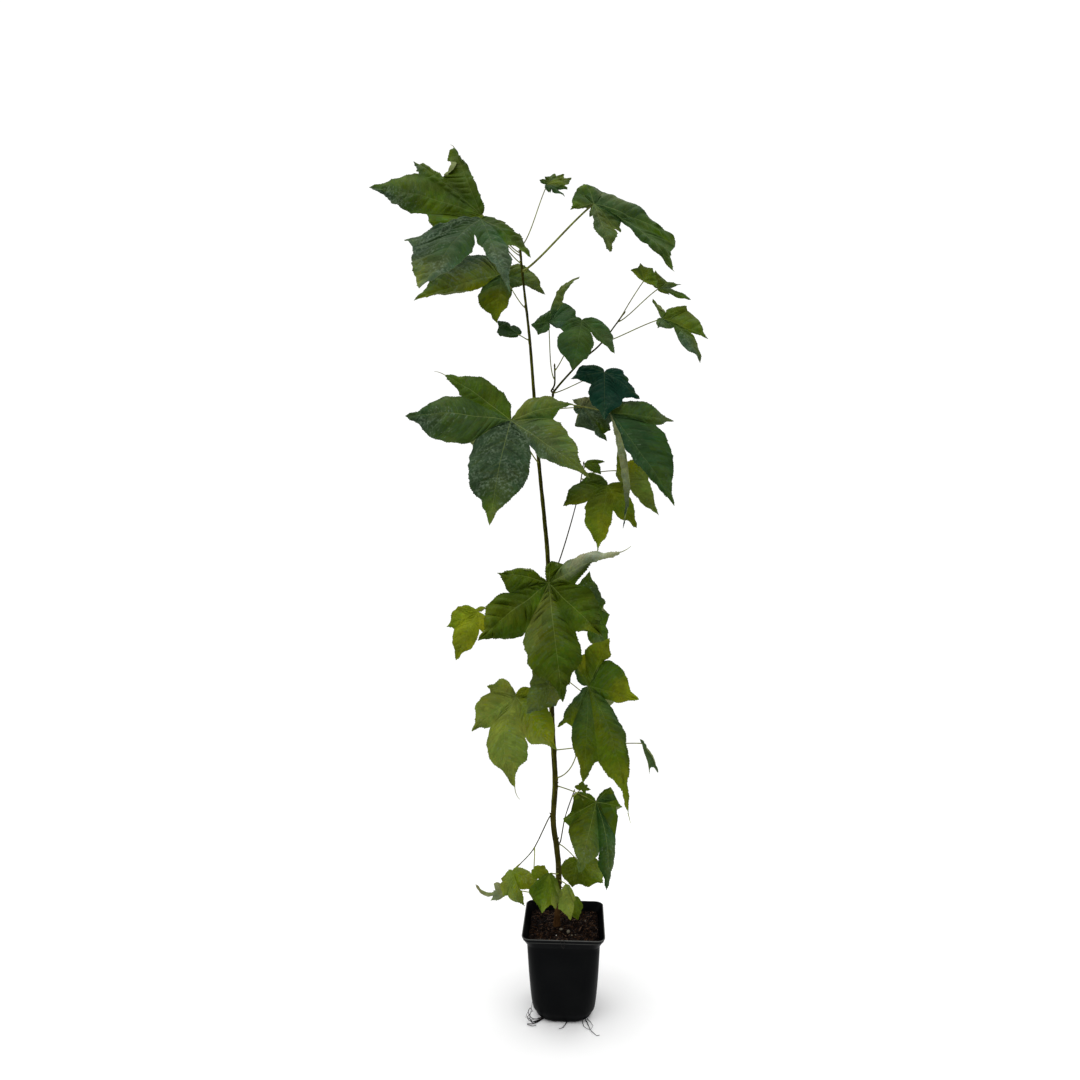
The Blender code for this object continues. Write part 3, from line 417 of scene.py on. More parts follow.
class PotSettings(bpy.types.PropertyGroup):
    wall: size("Wall", "Thickness of the pot's wall", 1.0)
    neck: size("Neck", "Outer width of the pot just under its lip", 79.2)
    foot: size("Foot", "Outer width of the pot at its foot", 63.5)
    sway: size("Sway", "How far the thin walls bow in and out", 0.5)
    drain: size("Drain hole", "Diameter of each hole in the underside", 7.0)
    plastic: colour("Plastic", "Colour of the pot", "#030405")


class PeatSettings(bpy.types.PropertyGroup):
    crumbs: IntProperty(name="Crumbs", description="Number of loose crumbs on the peat", default=1500)
    fibres: IntProperty(name="Fibres", description="Number of loose fibres on the peat", default=620)
    uneven: size("Unevenness", "Height of the bumps in the peat", 1.8)
    peat: colour("Peat", "Colour of the moist peat", "#060303")
    fibre: colour("Fibres", "Colour of the fibres in it", "#33200f")


class StageSettings(bpy.types.PropertyGroup):
    eye_height: size("Eye height", "Height of the camera", 524.0)
    distance: size("Distance", "Distance of the camera from the pot", 844.2)
    floor: colour("Floor", "Colour of the plain floor", "#fbfbfb")


# ---- nodes and materials ------------------------------------------------------------------------
VEINLETS = 2.6                  # width of a cell in the net of veinlets
NET_SHOWS, NET_DUSTED = 0.12, 0.4       # how clear that net is, and how much clearer under dust
DUST = "#6c7d65"                # colour of the dust on the leaves
BLOOM = (0.08, 0.6)             # how much dust lies on a waxy face and on a dusty one


def per_metre(millimetres):
    """The scale that makes a pattern repeat at that real size."""
    return 1000.0 / millimetres


def feed(tree, fed, inputs):
    """Sets a node's inputs to values, to sockets, or to the output that another node has in use."""
    for name, value in inputs.items():
        if isinstance(value, bpy.types.Node):
            value = next(socket for socket in value.outputs if socket.enabled)
        if isinstance(value, bpy.types.NodeSocket):
            tree.links.new(value, fed.inputs[name])
        else:
            fed.inputs[name].default_value = value


def node(tree, kind, inputs=None, **settings):
    """Adds a shader node with its properties, and sets or links its inputs."""
    made = tree.nodes.new("ShaderNode" + kind)
    for name, value in settings.items():
        setattr(made, name, value)
    feed(tree, made, inputs or {})
    return made


def material(name, recipe, *colours, **values):
    """A material made once by its recipe, which fills the tree and returns its shader's settings."""
    found = bpy.data.materials.get(name)
    if found:
        return found
    made = bpy.data.materials.new(name)
    made.use_nodes = True
    tree = made.node_tree
    place = node(tree, "TexCoord").outputs["Object"]
    shades = [(*(linear(one) if isinstance(one, str) else one), 1.0) for one in colours]
    feed(tree, tree.nodes["Principled BSDF"], recipe(tree, place, *shades, **values))
    return made


def waxy_leaf(tree, place, face, shade, net, dust, bloom):
    """Living leaf, waxy cuticle: a faint shine over a fine net of veinlets, in slow patches, under dust."""
    patches = node(tree, "TexNoise", {"Vector": place, "Scale": per_metre(24), "Detail": 4.0})
    aged = node(tree, "MapRange", {"Value": patches, "From Min": 0.36, "From Max": 0.66})
    toned = node(tree, "Mix", {0: aged, 6: face, 7: shade}, data_type="RGBA")
    cells = node(tree, "TexVoronoi", {"Vector": place, "Scale": per_metre(VEINLETS)},
                 feature="DISTANCE_TO_EDGE")
    line = node(tree, "MapRange", {"Value": cells, "From Max": 0.08,
                                   "To Min": NET_SHOWS + NET_DUSTED * bloom, "To Max": 0.0})
    veined = node(tree, "Mix", {0: line, 6: toned, 7: net}, data_type="RGBA")
    specks = node(tree, "TexNoise", {"Vector": place, "Scale": per_metre(2.6), "Detail": 4.0})
    grains = node(tree, "MapRange", {"Value": specks, "From Min": 0.45, "From Max": 0.62})
    drifts = node(tree, "TexNoise", {"Vector": place, "Scale": per_metre(15), "Detail": 2.0})
    settled = node(tree, "MapRange", {"Value": drifts, "From Min": 0.35, "From Max": 0.62, "To Max": bloom})
    share = node(tree, "Math", {0: settled, 1: grains}, operation="MULTIPLY")
    dusted = node(tree, "Mix", {0: share, 6: veined, 7: dust}, data_type="RGBA")
    relief = node(tree, "Bump", {"Height": cells, "Strength": 0.4, "Distance": 0.25 * MM})
    rough = node(tree, "MapRange", {"Value": specks, "From Min": 0.3, "From Max": 0.7, "To Min": 0.42,
                                    "To Max": 0.6})
    return {"Base Color": dusted, "Normal": relief, "IOR": 1.45, "Roughness": rough,
            "Specular IOR Level": 0.05}


def downy_underside(tree, place, face, net):
    """Leaf underside, matt and finely downy: paler, with the net of veinlets standing out."""
    cells = node(tree, "TexVoronoi", {"Vector": place, "Scale": per_metre(VEINLETS)},
                 feature="DISTANCE_TO_EDGE")
    line = node(tree, "MapRange", {"Value": cells, "From Max": 0.12, "To Min": 0.4, "To Max": 0.0})
    veined = node(tree, "Mix", {0: line, 6: face, 7: net}, data_type="RGBA")
    relief = node(tree, "Bump", {"Height": cells, "Strength": 0.5, "Distance": 0.3 * MM}, invert=True)
    return {"Base Color": veined, "Normal": relief, "Roughness": 0.75, "Specular IOR Level": 0.1}


def sappy_rib(tree, place, face, shade):
    """Living rib or stalk: smooth green fibre under a thin skin, a little shiny along its length."""
    tone = node(tree, "TexNoise", {"Vector": place, "Scale": per_metre(9), "Detail": 2.0})
    share = node(tree, "MapRange", {"Value": tone, "From Min": 0.35, "From Max": 0.65})
    base = node(tree, "Mix", {0: share, 6: face, 7: shade}, data_type="RGBA")
    return {"Base Color": base, "Roughness": 0.5, "Specular IOR Level": 0.15}


def thin_bark(tree, place, face, shade, grain):
    """Young bark, grown smooth and cracking finely: dull, streaked along the limb."""
    drawn_out = node(tree, "Mapping", {"Vector": place, "Scale": (1.0, 1.0, 0.12)})
    streaks = node(tree, "TexNoise", {"Vector": drawn_out, "Scale": per_metre(1.1), "Detail": 5.0})
    ridge = node(tree, "MapRange", {"Value": streaks, "From Min": 0.36, "From Max": 0.64})
    base = node(tree, "Mix", {0: ridge, 6: shade, 7: face}, data_type="RGBA")
    stains = node(tree, "TexNoise", {"Vector": place, "Scale": per_metre(14), "Detail": 2.0})
    paled = node(tree, "MapRange", {"Value": stains, "From Min": 0.45, "From Max": 0.7, "To Max": 0.6})
    stained = node(tree, "Mix", {0: paled, 6: base, 7: grain}, data_type="RGBA")
    relief = node(tree, "Bump", {"Height": streaks, "Strength": 0.5, "Distance": 0.2 * MM})
    return {"Base Color": stained, "Normal": relief, "Roughness": 0.7, "Specular IOR Level": 0.04}


def moulded_plastic(tree, place, face, dust):
    """Polypropylene, thin and blow-moulded: near black, satin, with dried splashes of peat dust."""
    haze = node(tree, "TexNoise", {"Vector": place, "Scale": per_metre(30), "Detail": 6.0})
    film = node(tree, "MapRange", {"Value": haze, "From Min": 0.42, "From Max": 0.75, "To Max": 0.4})
    hazed = node(tree, "Mix", {0: film, 6: face, 7: dust}, data_type="RGBA")
    specks = node(tree, "TexNoise", {"Vector": place, "Scale": per_metre(1.4), "Detail": 2.0})
    spots = node(tree, "MapRange", {"Value": specks, "From Min": 0.68, "From Max": 0.76, "To Max": 0.6})
    specked = node(tree, "Mix", {0: spots, 6: hazed, 7: dust}, data_type="RGBA")
    relief = node(tree, "Bump", {"Height": haze, "Strength": 0.25, "Distance": 0.6 * MM})
    rough = node(tree, "MapRange", {"Value": haze, "From Min": 0.3, "From Max": 0.7, "To Min": 0.34,
                                    "To Max": 0.55})
    return {"Base Color": specked, "Normal": relief, "Roughness": rough, "Specular IOR Level": 0.04}


def moist_crumb(tree, place, face, shade):
    """Milled peat, moist: dark, dull and crumbly, with a few lighter grains."""
    grain = node(tree, "TexNoise", {"Vector": place, "Scale": per_metre(1.8), "Detail": 6.0})
    share = node(tree, "MapRange", {"Value": grain, "From Min": 0.4, "From Max": 0.72})
    base = node(tree, "Mix", {0: share, 6: face, 7: shade}, data_type="RGBA")
    relief = node(tree, "Bump", {"Height": grain, "Strength": 0.9, "Distance": 0.8 * MM})
    return {"Base Color": base, "Normal": relief, "Roughness": 0.9, "Specular IOR Level": 0.05}


def rough_stone(tree, place, face, shade):
    """Quartz grit, broken: pale, grained, dull with small glints."""
    grain = node(tree, "TexNoise", {"Vector": place, "Scale": per_metre(1.2), "Detail": 4.0})
    base = node(tree, "Mix", {0: grain, 6: face, 7: shade}, data_type="RGBA")
    return {"Base Color": base, "Roughness": 0.6, "Specular IOR Level": 0.2}


def painted_board(tree, place, face, shade):
    """Plain floor, painted flat: pale, with hardly any tooth."""
    grain = node(tree, "TexNoise", {"Vector": place, "Scale": per_metre(60), "Detail": 2.0})
    share = node(tree, "MapRange", {"Value": grain, "From Min": 0.3, "From Max": 0.7, "To Max": 0.2})
    base = node(tree, "Mix", {0: share, 6: face, 7: shade}, data_type="RGBA")
    return {"Base Color": base, "Roughness": 0.8, "Specular IOR Level": 0.1}


# ---- meshes -------------------------------------------------------------------------------------
ROUTE_STEPS = 12                # steps between two route points, before they are evened out


def place_object(name, data):
    """A new object with that data, linked into the scene."""
    made = bpy.data.objects.new(name, data)
    bpy.context.scene.collection.objects.link(made)
    return made


class Shell:
    """Points, faces and each face's material number, gathered in millimetres for one piece."""

    def __init__(self):
        self.points, self.faces, self.kinds = [], [], []

    def point(self, place):
        self.points.append(place)
        return len(self.points) - 1

    def face(self, corners, kind):
        """Adds a face, unless so many of its corners are the same that none is left."""
        corners = list(dict.fromkeys(corners))
        if len(corners) > 2:
            self.faces.append(corners)
            self.kinds.append(kind)

    def rings(self, outlines, kind):
        """Skins rings of equal point count and closes both ends; kind is a number or a rule(ring, side)."""
        kind_at = kind if callable(kind) else lambda ring, side: kind
        rows = [[self.point(place) for place in outline] for outline in outlines]
        count = len(rows[0])
        for k, (low, high) in enumerate(zip(rows, rows[1:])):
            for s in range(count):
                t = (s + 1) % count
                self.face((low[s], low[t], high[t], high[s]), kind_at(k, s))
        self.face(rows[0][::-1], kind_at(0, 0))
        self.face(rows[-1], kind_at(len(rows) - 2, 0))

    def build(self, name, materials, slot, *nodes, smooth=50.0):
        """Makes the piece: it rides on the body and stands for the frame's nodes named."""
        mesh = bpy.data.meshes.new(name)
        mesh.from_pydata([place * MM for place in self.points], [], self.faces)
        mesh.polygons.foreach_set("material_index", self.kinds)
        mesh.shade_smooth()
        mesh.set_sharp_from_angle(angle=math.radians(smooth))
        for one in materials:
            mesh.materials.append(one)
        mesh.update()
        piece = place_object(name, mesh)
        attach(piece, BODY)
        if nodes:
            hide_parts(*nodes)
        return piece


def bezier(points, u):
    """A point on the cubic curve of four control points."""
    a, b, c, d = points
    v = 1.0 - u
    return a * v ** 3 + b * (3 * u * v * v) + c * (3 * u * u * v) + d * u ** 3


def even_points(line, places):
    """Points of a polyline at distances along it."""
    lengths = [0.0]
    for one, two in zip(line, line[1:]):
        lengths.append(lengths[-1] + (two - one).length)
    found, k = [], 0
    for place in places:
        while k < len(line) - 2 and lengths[k + 1] < place:
            k += 1
        span = lengths[k + 1] - lengths[k]
        found.append(line[k].lerp(line[k + 1], min(1.0, max(0.0, (place - lengths[k]) / span))))
    return found


def line_length(line):
    """The length of a polyline."""
    return sum((two - one).length for one, two in zip(line, line[1:]))


def smooth_route(points, steps):
    """A curve through every route point, read at evenly spaced steps of length."""
    ends = [points[0] * 2 - points[1], *points, points[-1] * 2 - points[-2]]
    fine = []
    for before, start, end, after in zip(ends, ends[1:], ends[2:], ends[3:]):
        controls = (start, start + (end - before) / 6, end - (after - start) / 6, end)
        fine += [bezier(controls, share) for share in parts(ROUTE_STEPS)[:-1]]
    fine.append(points[-1])
    full = line_length(fine)
    return even_points(fine, [full * k / steps for k in range(steps + 1)])


def parts(count):
    """Shares from 0 to 1 in that many equal steps."""
    return [k / count for k in range(count + 1)]


def square_to(axis, vector):
    """The unit vector square to an axis, on the side that the given vector points to."""
    return (vector - axis * vector.dot(axis)).normalized()


def around(count):
    """The angles of evenly spaced points on a ring."""
    return [2 * math.pi * s / count for s in range(count)]


def tube_rings(route, radii, sides, set_off, relief=None):
    """Rings round a route, turned without twist; relief(out, place) adds to the radius."""
    tangent, across = set_off, set_off.orthogonal().normalized()
    last, rings = len(route) - 1, []
    for k, (centre, radius) in enumerate(zip(route, radii)):
        if k:
            tangent = (route[min(k + 1, last)] - route[k - 1]).normalized()
        across = square_to(tangent, across)
        up = tangent.cross(across)
        ring = []
        for turn in around(sides):
            out = across * math.cos(turn) + up * math.sin(turn)
            ring.append(centre + out * (radius + (relief(out, centre) if relief else 0.0)))
        rings.append(ring)
    return rings


# ---- limbs --------------------------------------------------------------------------------------
STEM_STEPS, STEM_SIDES = 560, 26
STEM_TAPER = 1.6                # how late up the stem it thins
TWIG_PITCH, TWIG_SIDES = 1.6, 12
FOOT_DEPTH = 0.55               # how deep in its limb a stalk or twig starts, against the limb's radius
SET_OFF = 0.6                   # how far a twig sets off square to its limb, against the limb's radius
THIN_LIMB = 3.0                 # radius below which a limb has less relief
FURROWS, FURROW_LENGTH = 6, 7.0                 # fine furrows: how many round, how long
DENTS, DENT_LENGTH, DENT_DEPTH = 1.5, 16.0, 1.2     # slow dents: the same, and depth against a furrow's
JOINT_REACH = 9.0               # how far up and down a limb a bud's joint can be felt
SWELL_BELOW, SWELL_LENGTH = 1.2, 2.2            # the swelling under a bud
SCAR_BELOW, SCAR_LENGTH, SCAR_RISE = 4.2, 0.45, 0.16    # the ring where a bud scale fell
OLD, YOUNG, PORE, PAINTED_LIT, FOOT = range(5)        # the kinds of bark on the stem, one of them its side toward the lamps, painted lighter and greener as if lit
LENTICELS, LENTICEL_RISE = 150, 0.12            # pale breathing pores on the stem
PORE_FREE_FOOT, PORE_FREE_TIP = 6, 8            # rings without any at the two ends
PATCH_SIDES, PATCH_STEPS, PATCHINESS = 3.0, 14.0, 0.5   # patches of bark: how wide, long and strong
PAINTED_LIT_FROM, PAINTED_LIT_YOUTH = 0.62, 0.1     # how squarely bark must face the lamps to be painted lighter and greener as lit, how young it must be
PAINTED_LIT_FACING = Vector((-0.94, -0.34, 0.0))        # the way the side painted lighter and greener as lit looks, toward the lamps
BROWN_TOP, BROWN_FRAY = 128.0, 40.0     # height up to which it is brown, and how unevenly that ends
OLD_BARK_TOP, YOUNG_BARK_FOOT = 250.0, 430.0    # heights between which old bark gives way to young


def limb_at(limb, height):
    """The point, direction and radius of a limb where it passes a height."""
    route, radii = limb
    spans = [(k, route[k].z, route[k + 1].z) for k in range(len(route) - 1)]
    k, low, high = min(spans, key=lambda span: max(0.0, min(span[1:]) - height, height - max(span[1:])))
    share = min(1.0, max(0.0, (height - low) / (high - low)))
    direction = (route[k + 1] - route[k]).normalized()
    return route[k].lerp(route[k + 1], share), direction, radii[k] + (radii[k + 1] - radii[k]) * share


def leave_limb(limb, height, toward):
    """Where a stalk or twig starts inside its limb, the way it sets off and the limb's radius."""
    point, direction, radius = limb_at(limb, height)
    away = square_to(direction, toward - point)
    return point + away * (radius * FOOT_DEPTH), away, radius


def stem_line(settings):
    """Route and radii of the stem, tapering from foot to tip with the root flare at the peat."""
    sole, foot, top = (value / MM for value in (settings.sole, settings.foot, settings.top))
    route = smooth_route([Vector(point) for point in STEM_ROUTE], STEM_STEPS)
    low, high = route[0].z, route[-1].z
    radii = []
    for point in route:
        share = (point.z - low) / (high - low)
        flare = (sole - foot) * max(0.0, 1 - (point.z - low) / STEM_FLARE) ** 2
        radii.append((foot + (top - foot) * share ** STEM_TAPER + flare) / 2)
    return route, radii


def twig_line(parent, height, points, thick, thin):
    """Route and radii of a twig from inside its parent limb."""
    points = [Vector(point) for point in points]
    start, away, radius = leave_limb(parent, height, points[0])
    points = [start, start + away * (radius * SET_OFF + thick), *points]
    steps = max(16, int(line_length(smooth_route(points, 12)) / TWIG_PITCH))
    return smooth_route(points, steps), [(thick + (thin - thick) * k / steps) / 2 for k in range(steps + 1)]


def limb_lines():
    """Routes and radii of the stem and all twigs."""
    lines = {"stem": stem_line(bpy.context.scene.sapling_limbs)}
    for name, (parent, height, points, thick, thin) in TWIGS.items():
        lines[name] = twig_line(lines[parent], height, points, thick, thin)
    return lines


def axils(limb):
    """Height, and direction to look for, of everything that grows from one limb."""
    found = [(row[1], Vector(row[2])) for row in LEAVES.values() if row[0] == limb]
    return found + [(row[1], Vector(row[2][-1])) for row in TWIGS.values() if row[0] == limb]


def bark_relief(limb, line, settings):
    """Furrows along the limb, swellings below its buds and rings where their scales fell."""
    depth, swell = settings.relief / MM, settings.node_swell / MM
    joints = []
    for height, toward in axils(limb):
        point, direction, _ = limb_at(line, height)
        joints.append((point, direction, square_to(direction, toward - point)))
    thinness = min(1.0, line[1][0] / THIN_LIMB)

    def relief(out, centre):
        place = Vector((out.x * FURROWS, out.y * FURROWS, centre.z / FURROW_LENGTH + out.z * FURROWS))
        dent = noise.noise(Vector((out.x * DENTS, out.y * DENTS, centre.z / DENT_LENGTH)))
        total = (noise.noise(place) * depth + dent * depth * DENT_DEPTH) * thinness
        for point, direction, away in joints:
            along = (centre - point).dot(direction)
            if abs(along) < JOINT_REACH:
                side = 0.5 + 0.5 * out.dot(away)
                bulge = math.exp(-((along + SWELL_BELOW) / SWELL_LENGTH) ** 2)
                total += swell * thinness * side ** 2 * bulge
                total += SCAR_RISE * thinness * math.exp(-((along + SCAR_BELOW) / SCAR_LENGTH) ** 2)
        return total
    return relief


def young_bark(settings):
    """The bark that this year's part of the stem shares with the twigs."""
    return material("bark_this_year", thin_bark, settings.young_bark, "#1c1f06", "#4c5216")


def build_stem(settings):
    line = stem_line(settings)
    route, radii = line
    rng = random.Random(5)
    rings = PORE_FREE_FOOT, STEM_STEPS - PORE_FREE_TIP
    pores = {(rng.randrange(*rings), rng.randrange(STEM_SIDES)) for _ in range(LENTICELS)}
    outlines = tube_rings(route, radii, STEM_SIDES, UP, bark_relief("stem", line, settings))

    def kind(k, s):
        """Pores, then brown at the foot, then old bark giving way to young, painted lighter and greener
        where it faces the lamps.
        """
        wander = noise.noise(Vector((s / PATCH_SIDES, k / PATCH_STEPS, 0.0))) * PATCHINESS
        youth = (route[k].z - OLD_BARK_TOP) / (YOUNG_BARK_FOOT - OLD_BARK_TOP) + wander
        if (k, s) in pores:
            return PORE
        if route[k].z < BROWN_TOP + wander * BROWN_FRAY:
            return FOOT
        # painted highlight: young bark facing the lamps takes the lighter, greener lit-side bark
        facing_lamps = (outlines[k][s] - route[k]).normalized().dot(PAINTED_LIT_FACING) + wander
        if youth > PAINTED_LIT_YOUTH and facing_lamps > PAINTED_LIT_FROM:
            return PAINTED_LIT
        return YOUNG if youth > 0.5 else OLD

    for k, s in pores:
        for ring in (k, k + 1):
            for side in (s, (s + 1) % STEM_SIDES):
                out = (outlines[ring][side] - route[ring]).normalized()
                outlines[ring][side] = outlines[ring][side] + out * LENTICEL_RISE
    shell = Shell()
    shell.rings(outlines, kind)
    # the fourth is the stem's side toward the lamps, painted lighter and greener as if lit
    barks = [material("bark_two_years_old", thin_bark, settings.old_bark, "#2a260a", "#565018"),
             young_bark(settings),
             material("bark_pore", sappy_rib, "#6c6342", "#57502f"),
             material("bark_painted_lit_side", thin_bark, "#565b10", "#3a3d0a", "#62611a"),
             material("bark_at_the_foot", thin_bark, "#4c331a", "#2a1a0c", "#5d4426")]
    shell.build("stem_bark", barks, "bark", "stem")


def build_twigs(settings):
    lines = limb_lines()
    for name in TWIGS:
        route, radii = lines[name]
        set_off = (route[1] - route[0]).normalized()
        relief = bark_relief(name, lines[name], settings)
        shell = Shell()
        shell.rings(tube_rings(route, radii, TWIG_SIDES, set_off, relief), 0)
        shell.build(name + "_bark", [young_bark(settings)], "shoot", name)


BUD_PROFILE = [(0.0, 0.55), (0.12, 0.8), (0.3, 1.0), (0.5, 0.92), (0.7, 0.62), (0.87, 0.3), (1.0, 0.04)]
BUD_SIDES = 10
BUD_WIDTH, BUD_FLATNESS = 0.24, 0.8     # a bud's half width against its length, and across against that
SCALES, SCALE_TURN, SCALE_RISE = 3, 2.1, 0.16   # bud scales: how many round, how they wind, how high
BUD_SIZES, END_BUD = (0.55, 1.15), 1.5  # sizes of buds in the axils and at the tips, to the usual one
LEAST_BUD, LEAST_END_BUD, THIN_TIP = 0.45, 0.4, 1.4     # the least of that on the thinnest limbs
BUD_OUT, BUD_CLEAR = 0.75, 0.9  # how far out on the limb a bud sits, how far above the stalk
BUD_AHEAD, BUD_ASIDE = 0.8, 0.6         # how it leans along the limb and away from it
END_BUD_SUNK = 0.4


def add_bud(shell, foot, direction, length, turn):
    """A pointed bud with overlapping scales, a little flattened."""
    width = length * BUD_WIDTH
    across = direction.orthogonal().normalized()
    across = (Matrix.Rotation(turn, 3, direction) @ across).normalized()
    side = direction.cross(across)
    outlines = []
    for k, (along, wide) in enumerate(BUD_PROFILE):
        ring = []
        for angle in around(BUD_SIDES):
            scale = 1.0 + SCALE_RISE * math.cos(SCALES * angle + k * SCALE_TURN)
            out = across * math.cos(angle) + side * (math.sin(angle) * BUD_FLATNESS)
            ring.append(foot + direction * (along * length) + out * (wide * width * scale))
        outlines.append(ring)
    shell.rings(outlines, 0)


def build_buds(settings):
    rng = random.Random(11)
    usual = settings.bud / MM
    shell = Shell()
    for limb, line in limb_lines().items():
        for height, toward in axils(limb):
            point, direction, radius = limb_at(line, height)
            away = square_to(direction, toward - point)
            foot = point + away * (radius * BUD_OUT) + direction * (radius * 0.5 + BUD_CLEAR)
            length = usual * rng.uniform(*BUD_SIZES) * min(1.0, LEAST_BUD + radius / THIN_LIMB)
            heading = (direction * BUD_AHEAD + away * BUD_ASIDE).normalized()
            add_bud(shell, foot, heading, length, rng.uniform(0, FULL_TURN))
        route, radii = line
        heading = (route[-1] - route[-3]).normalized()
        length = usual * END_BUD * min(1.0, LEAST_END_BUD + radii[-1] / THIN_TIP)
        add_bud(shell, route[-1] - heading * END_BUD_SUNK, heading, length, 0.0)
    shell.build("bud_scales", [material("bud_scale", sappy_rib, settings.bud_colour, "#3f3a18")], "shoot")


# ---- leaves: the outline ------------------------------------------------------------------------
def facing_normal(side, up):
    """The way a blade faces, from the degrees it is turned to the right and up."""
    side, up = math.radians(side), math.radians(up)
    return Vector((math.sin(side) * math.cos(up), -math.cos(side) * math.cos(up), math.sin(up)))


def lobe_vector(normal, turn, reach):
    """A vector in the blade's plane, at a clock turn and reach as seen from the side it faces."""
    turn = math.radians(turn)
    x, z = -math.copysign(reach, normal.y) * math.sin(turn), math.cos(turn) * reach
    return Vector((x, -(normal.x * x + normal.z * z) / normal.y, z))


def margin(tip, side, half, curve, notch):
    """The control points of one side of a lobe, from the notch to the tip."""
    length = tip.length
    start, off = notch.dot(tip) / length ** 2, notch.dot(side)
    free = 1.0 - start
    if half is None:
        near = off * 2 / 3 + BELLY * free * length
        far = off / 3 + BELLY_END * free * length
    else:
        u, v = WIDEST, 1 - WIDEST
        near = (half - off * v ** 3) / (3 * u * v * v + 3 * u * u * v * PULL_END)
        far = near * PULL_END
    return (notch, tip * (start + NEAR * free) + side * near + curve * BEND_NEAR,
            tip * (start + FAR * free) + side * far + curve * BEND_FAR, tip)


def outer_margin(tip, side, half, curve, gap):
    """The same for the side beside the stalk, from the hub; gap is the angle left open there."""
    turn = min(math.pi / 2, gap * OUTER_TURN)
    pull = (OUTER_HALF * tip.length if half is None else half) / OUTER_SHARE
    start = (tip.normalized() * math.cos(turn) + side * math.sin(turn)) * pull
    return Vector(), start, tip * OUTER_FAR + side * pull + curve * BEND_NEAR, tip


def notch_after(normal, one, two):
    """The bottom of the notch between two lobes: as measured, or halfway between them."""
    if one.notch:
        return lobe_vector(normal, *one.notch)
    turn = one.turn + (two.turn - one.turn) % 360 / 2
    return lobe_vector(normal, turn, USUAL_NOTCH * min(one.reach, two.reach))


# ---- leaves: the blade --------------------------------------------------------------------------
UNDER, UNDER_RIB, STALK, FIRST_RUNG = range(4)
Row = namedtuple("Row", "place vein phase tooth")
END = Row(0.0, 0, 0.0, 0)       # a row at the end of a stretch: no vein and no tooth
EDGE_STEPS = 60                 # steps along a margin's curve before it is evened out
LEAST_FULL = 0.25               # how full-grown a leaf of no size would be
CALM_HUB = 25.0                 # distance from the hub over which the waves set in
LEAST_STEP = 0.12               # least distance between two rows on the rib
BITES = (0.4, 0.7, 0.9, 1.1, 1.9)       # sizes of the teeth against the usual one
LEAST_PITCH = 0.6               # spacing of the teeth on the smallest leaf against the usual
FADES_IN, FADES_OUT = 8, 9      # how soon teeth and ruffles set in and end along a margin
CURL_FULLNESS = 0.6             # how soon a curl comes to its full width; 1 is like a sine
CURL_MOST, LEAST_WIDTH = 0.6, 0.1       # the most of a row that may curl, the narrowest row or curl
RIB_MOST, RIB_THINS = 0.45, 0.7         # a rib's share of a narrow row, how much thinner it is at the tip
NARROW = 8.0                    # width of a half blade below which it bulges less between veins
VEIN_BELOW, VEIN_ABOVE, RIB_ABOVE = 0.14, 0.06, 0.12    # how far veins stand out below and sink above
RIB_LOWERS = 0.8                # how much lower a rib is at the tip
DARKEST, LEAST_SHARE = -30, 0.02        # lowest rung, and the least red or blue against the green


class Ladder:
    """The base colours of one leaf: each face takes a rung close to its own colour."""

    def __init__(self):
        self.rungs = {}

    def rung(self, tint, rng):
        red, green, blue, dusty = tint
        steps = math.log(green) / LIGHT_STEP, red / green / RED_STEP, blue / green / BLUE_STEP
        key = tuple(max(DARKEST, round(step + rng.uniform(-LOOSE, LOOSE))) for step in steps)
        return self.rungs.setdefault((*key, rng.random() < dusty), FIRST_RUNG + len(self.rungs))

    def materials(self):
        found = []
        for light, red, blue, dusty in self.rungs:
            green = math.exp(light * LIGHT_STEP)
            red_share, blue_share = max(red * RED_STEP, LEAST_SHARE), max(blue * BLUE_STEP, LEAST_SHARE)
            face = (green * red_share, green, green * blue_share)
            shade, net = (tuple(share * c for c in face) for share in (SHADE, NET))
            name = "leaf_%s_light_%d_red_%d_blue_%d" % ("dusty" if dusty else "waxy", -light, red, blue)
            found.append(material(name, waxy_leaf, face, shade, net, DUST, bloom=BLOOM[dusty]))
        return found


def eased(value):
    """Eases a share in and out, so that a slope starts and ends level."""
    value = min(1.0, max(0.0, value))
    return value * value * (3 - 2 * value)


class LobeLine:
    """The rib of one lobe: where its points lie in the plane and how high they stand out of it."""

    def __init__(self, normal, lobe, taper):
        self.tip, self.taper = lobe_vector(normal, lobe.turn, lobe.reach), taper
        self.length, self.along = self.tip.length, self.tip.normalized()
        self.clockwise, self.bend = self.along.cross(normal), lobe.bend

    def rib(self, share):
        return self.tip * share + self.clockwise * (self.bend * 4 * share * (1 - share))

    def height(self, place):
        out = place.dot(self.along) / self.length
        bow = 4 * out * (1 - out)
        return ARCH * self.length * bow - DROOP * abs(place.dot(self.clockwise) - self.bend * bow)

    def tapered(self, place):
        """Pulls a margin in toward the rib near the tip, which draws the tip out."""
        out = place.dot(self.along) / self.length
        off = place.dot(self.clockwise) - self.bend * 4 * out * (1 - out)
        start, end, share = self.taper
        return place - self.clockwise * (off * share * eased((out - start) / (end - start)))


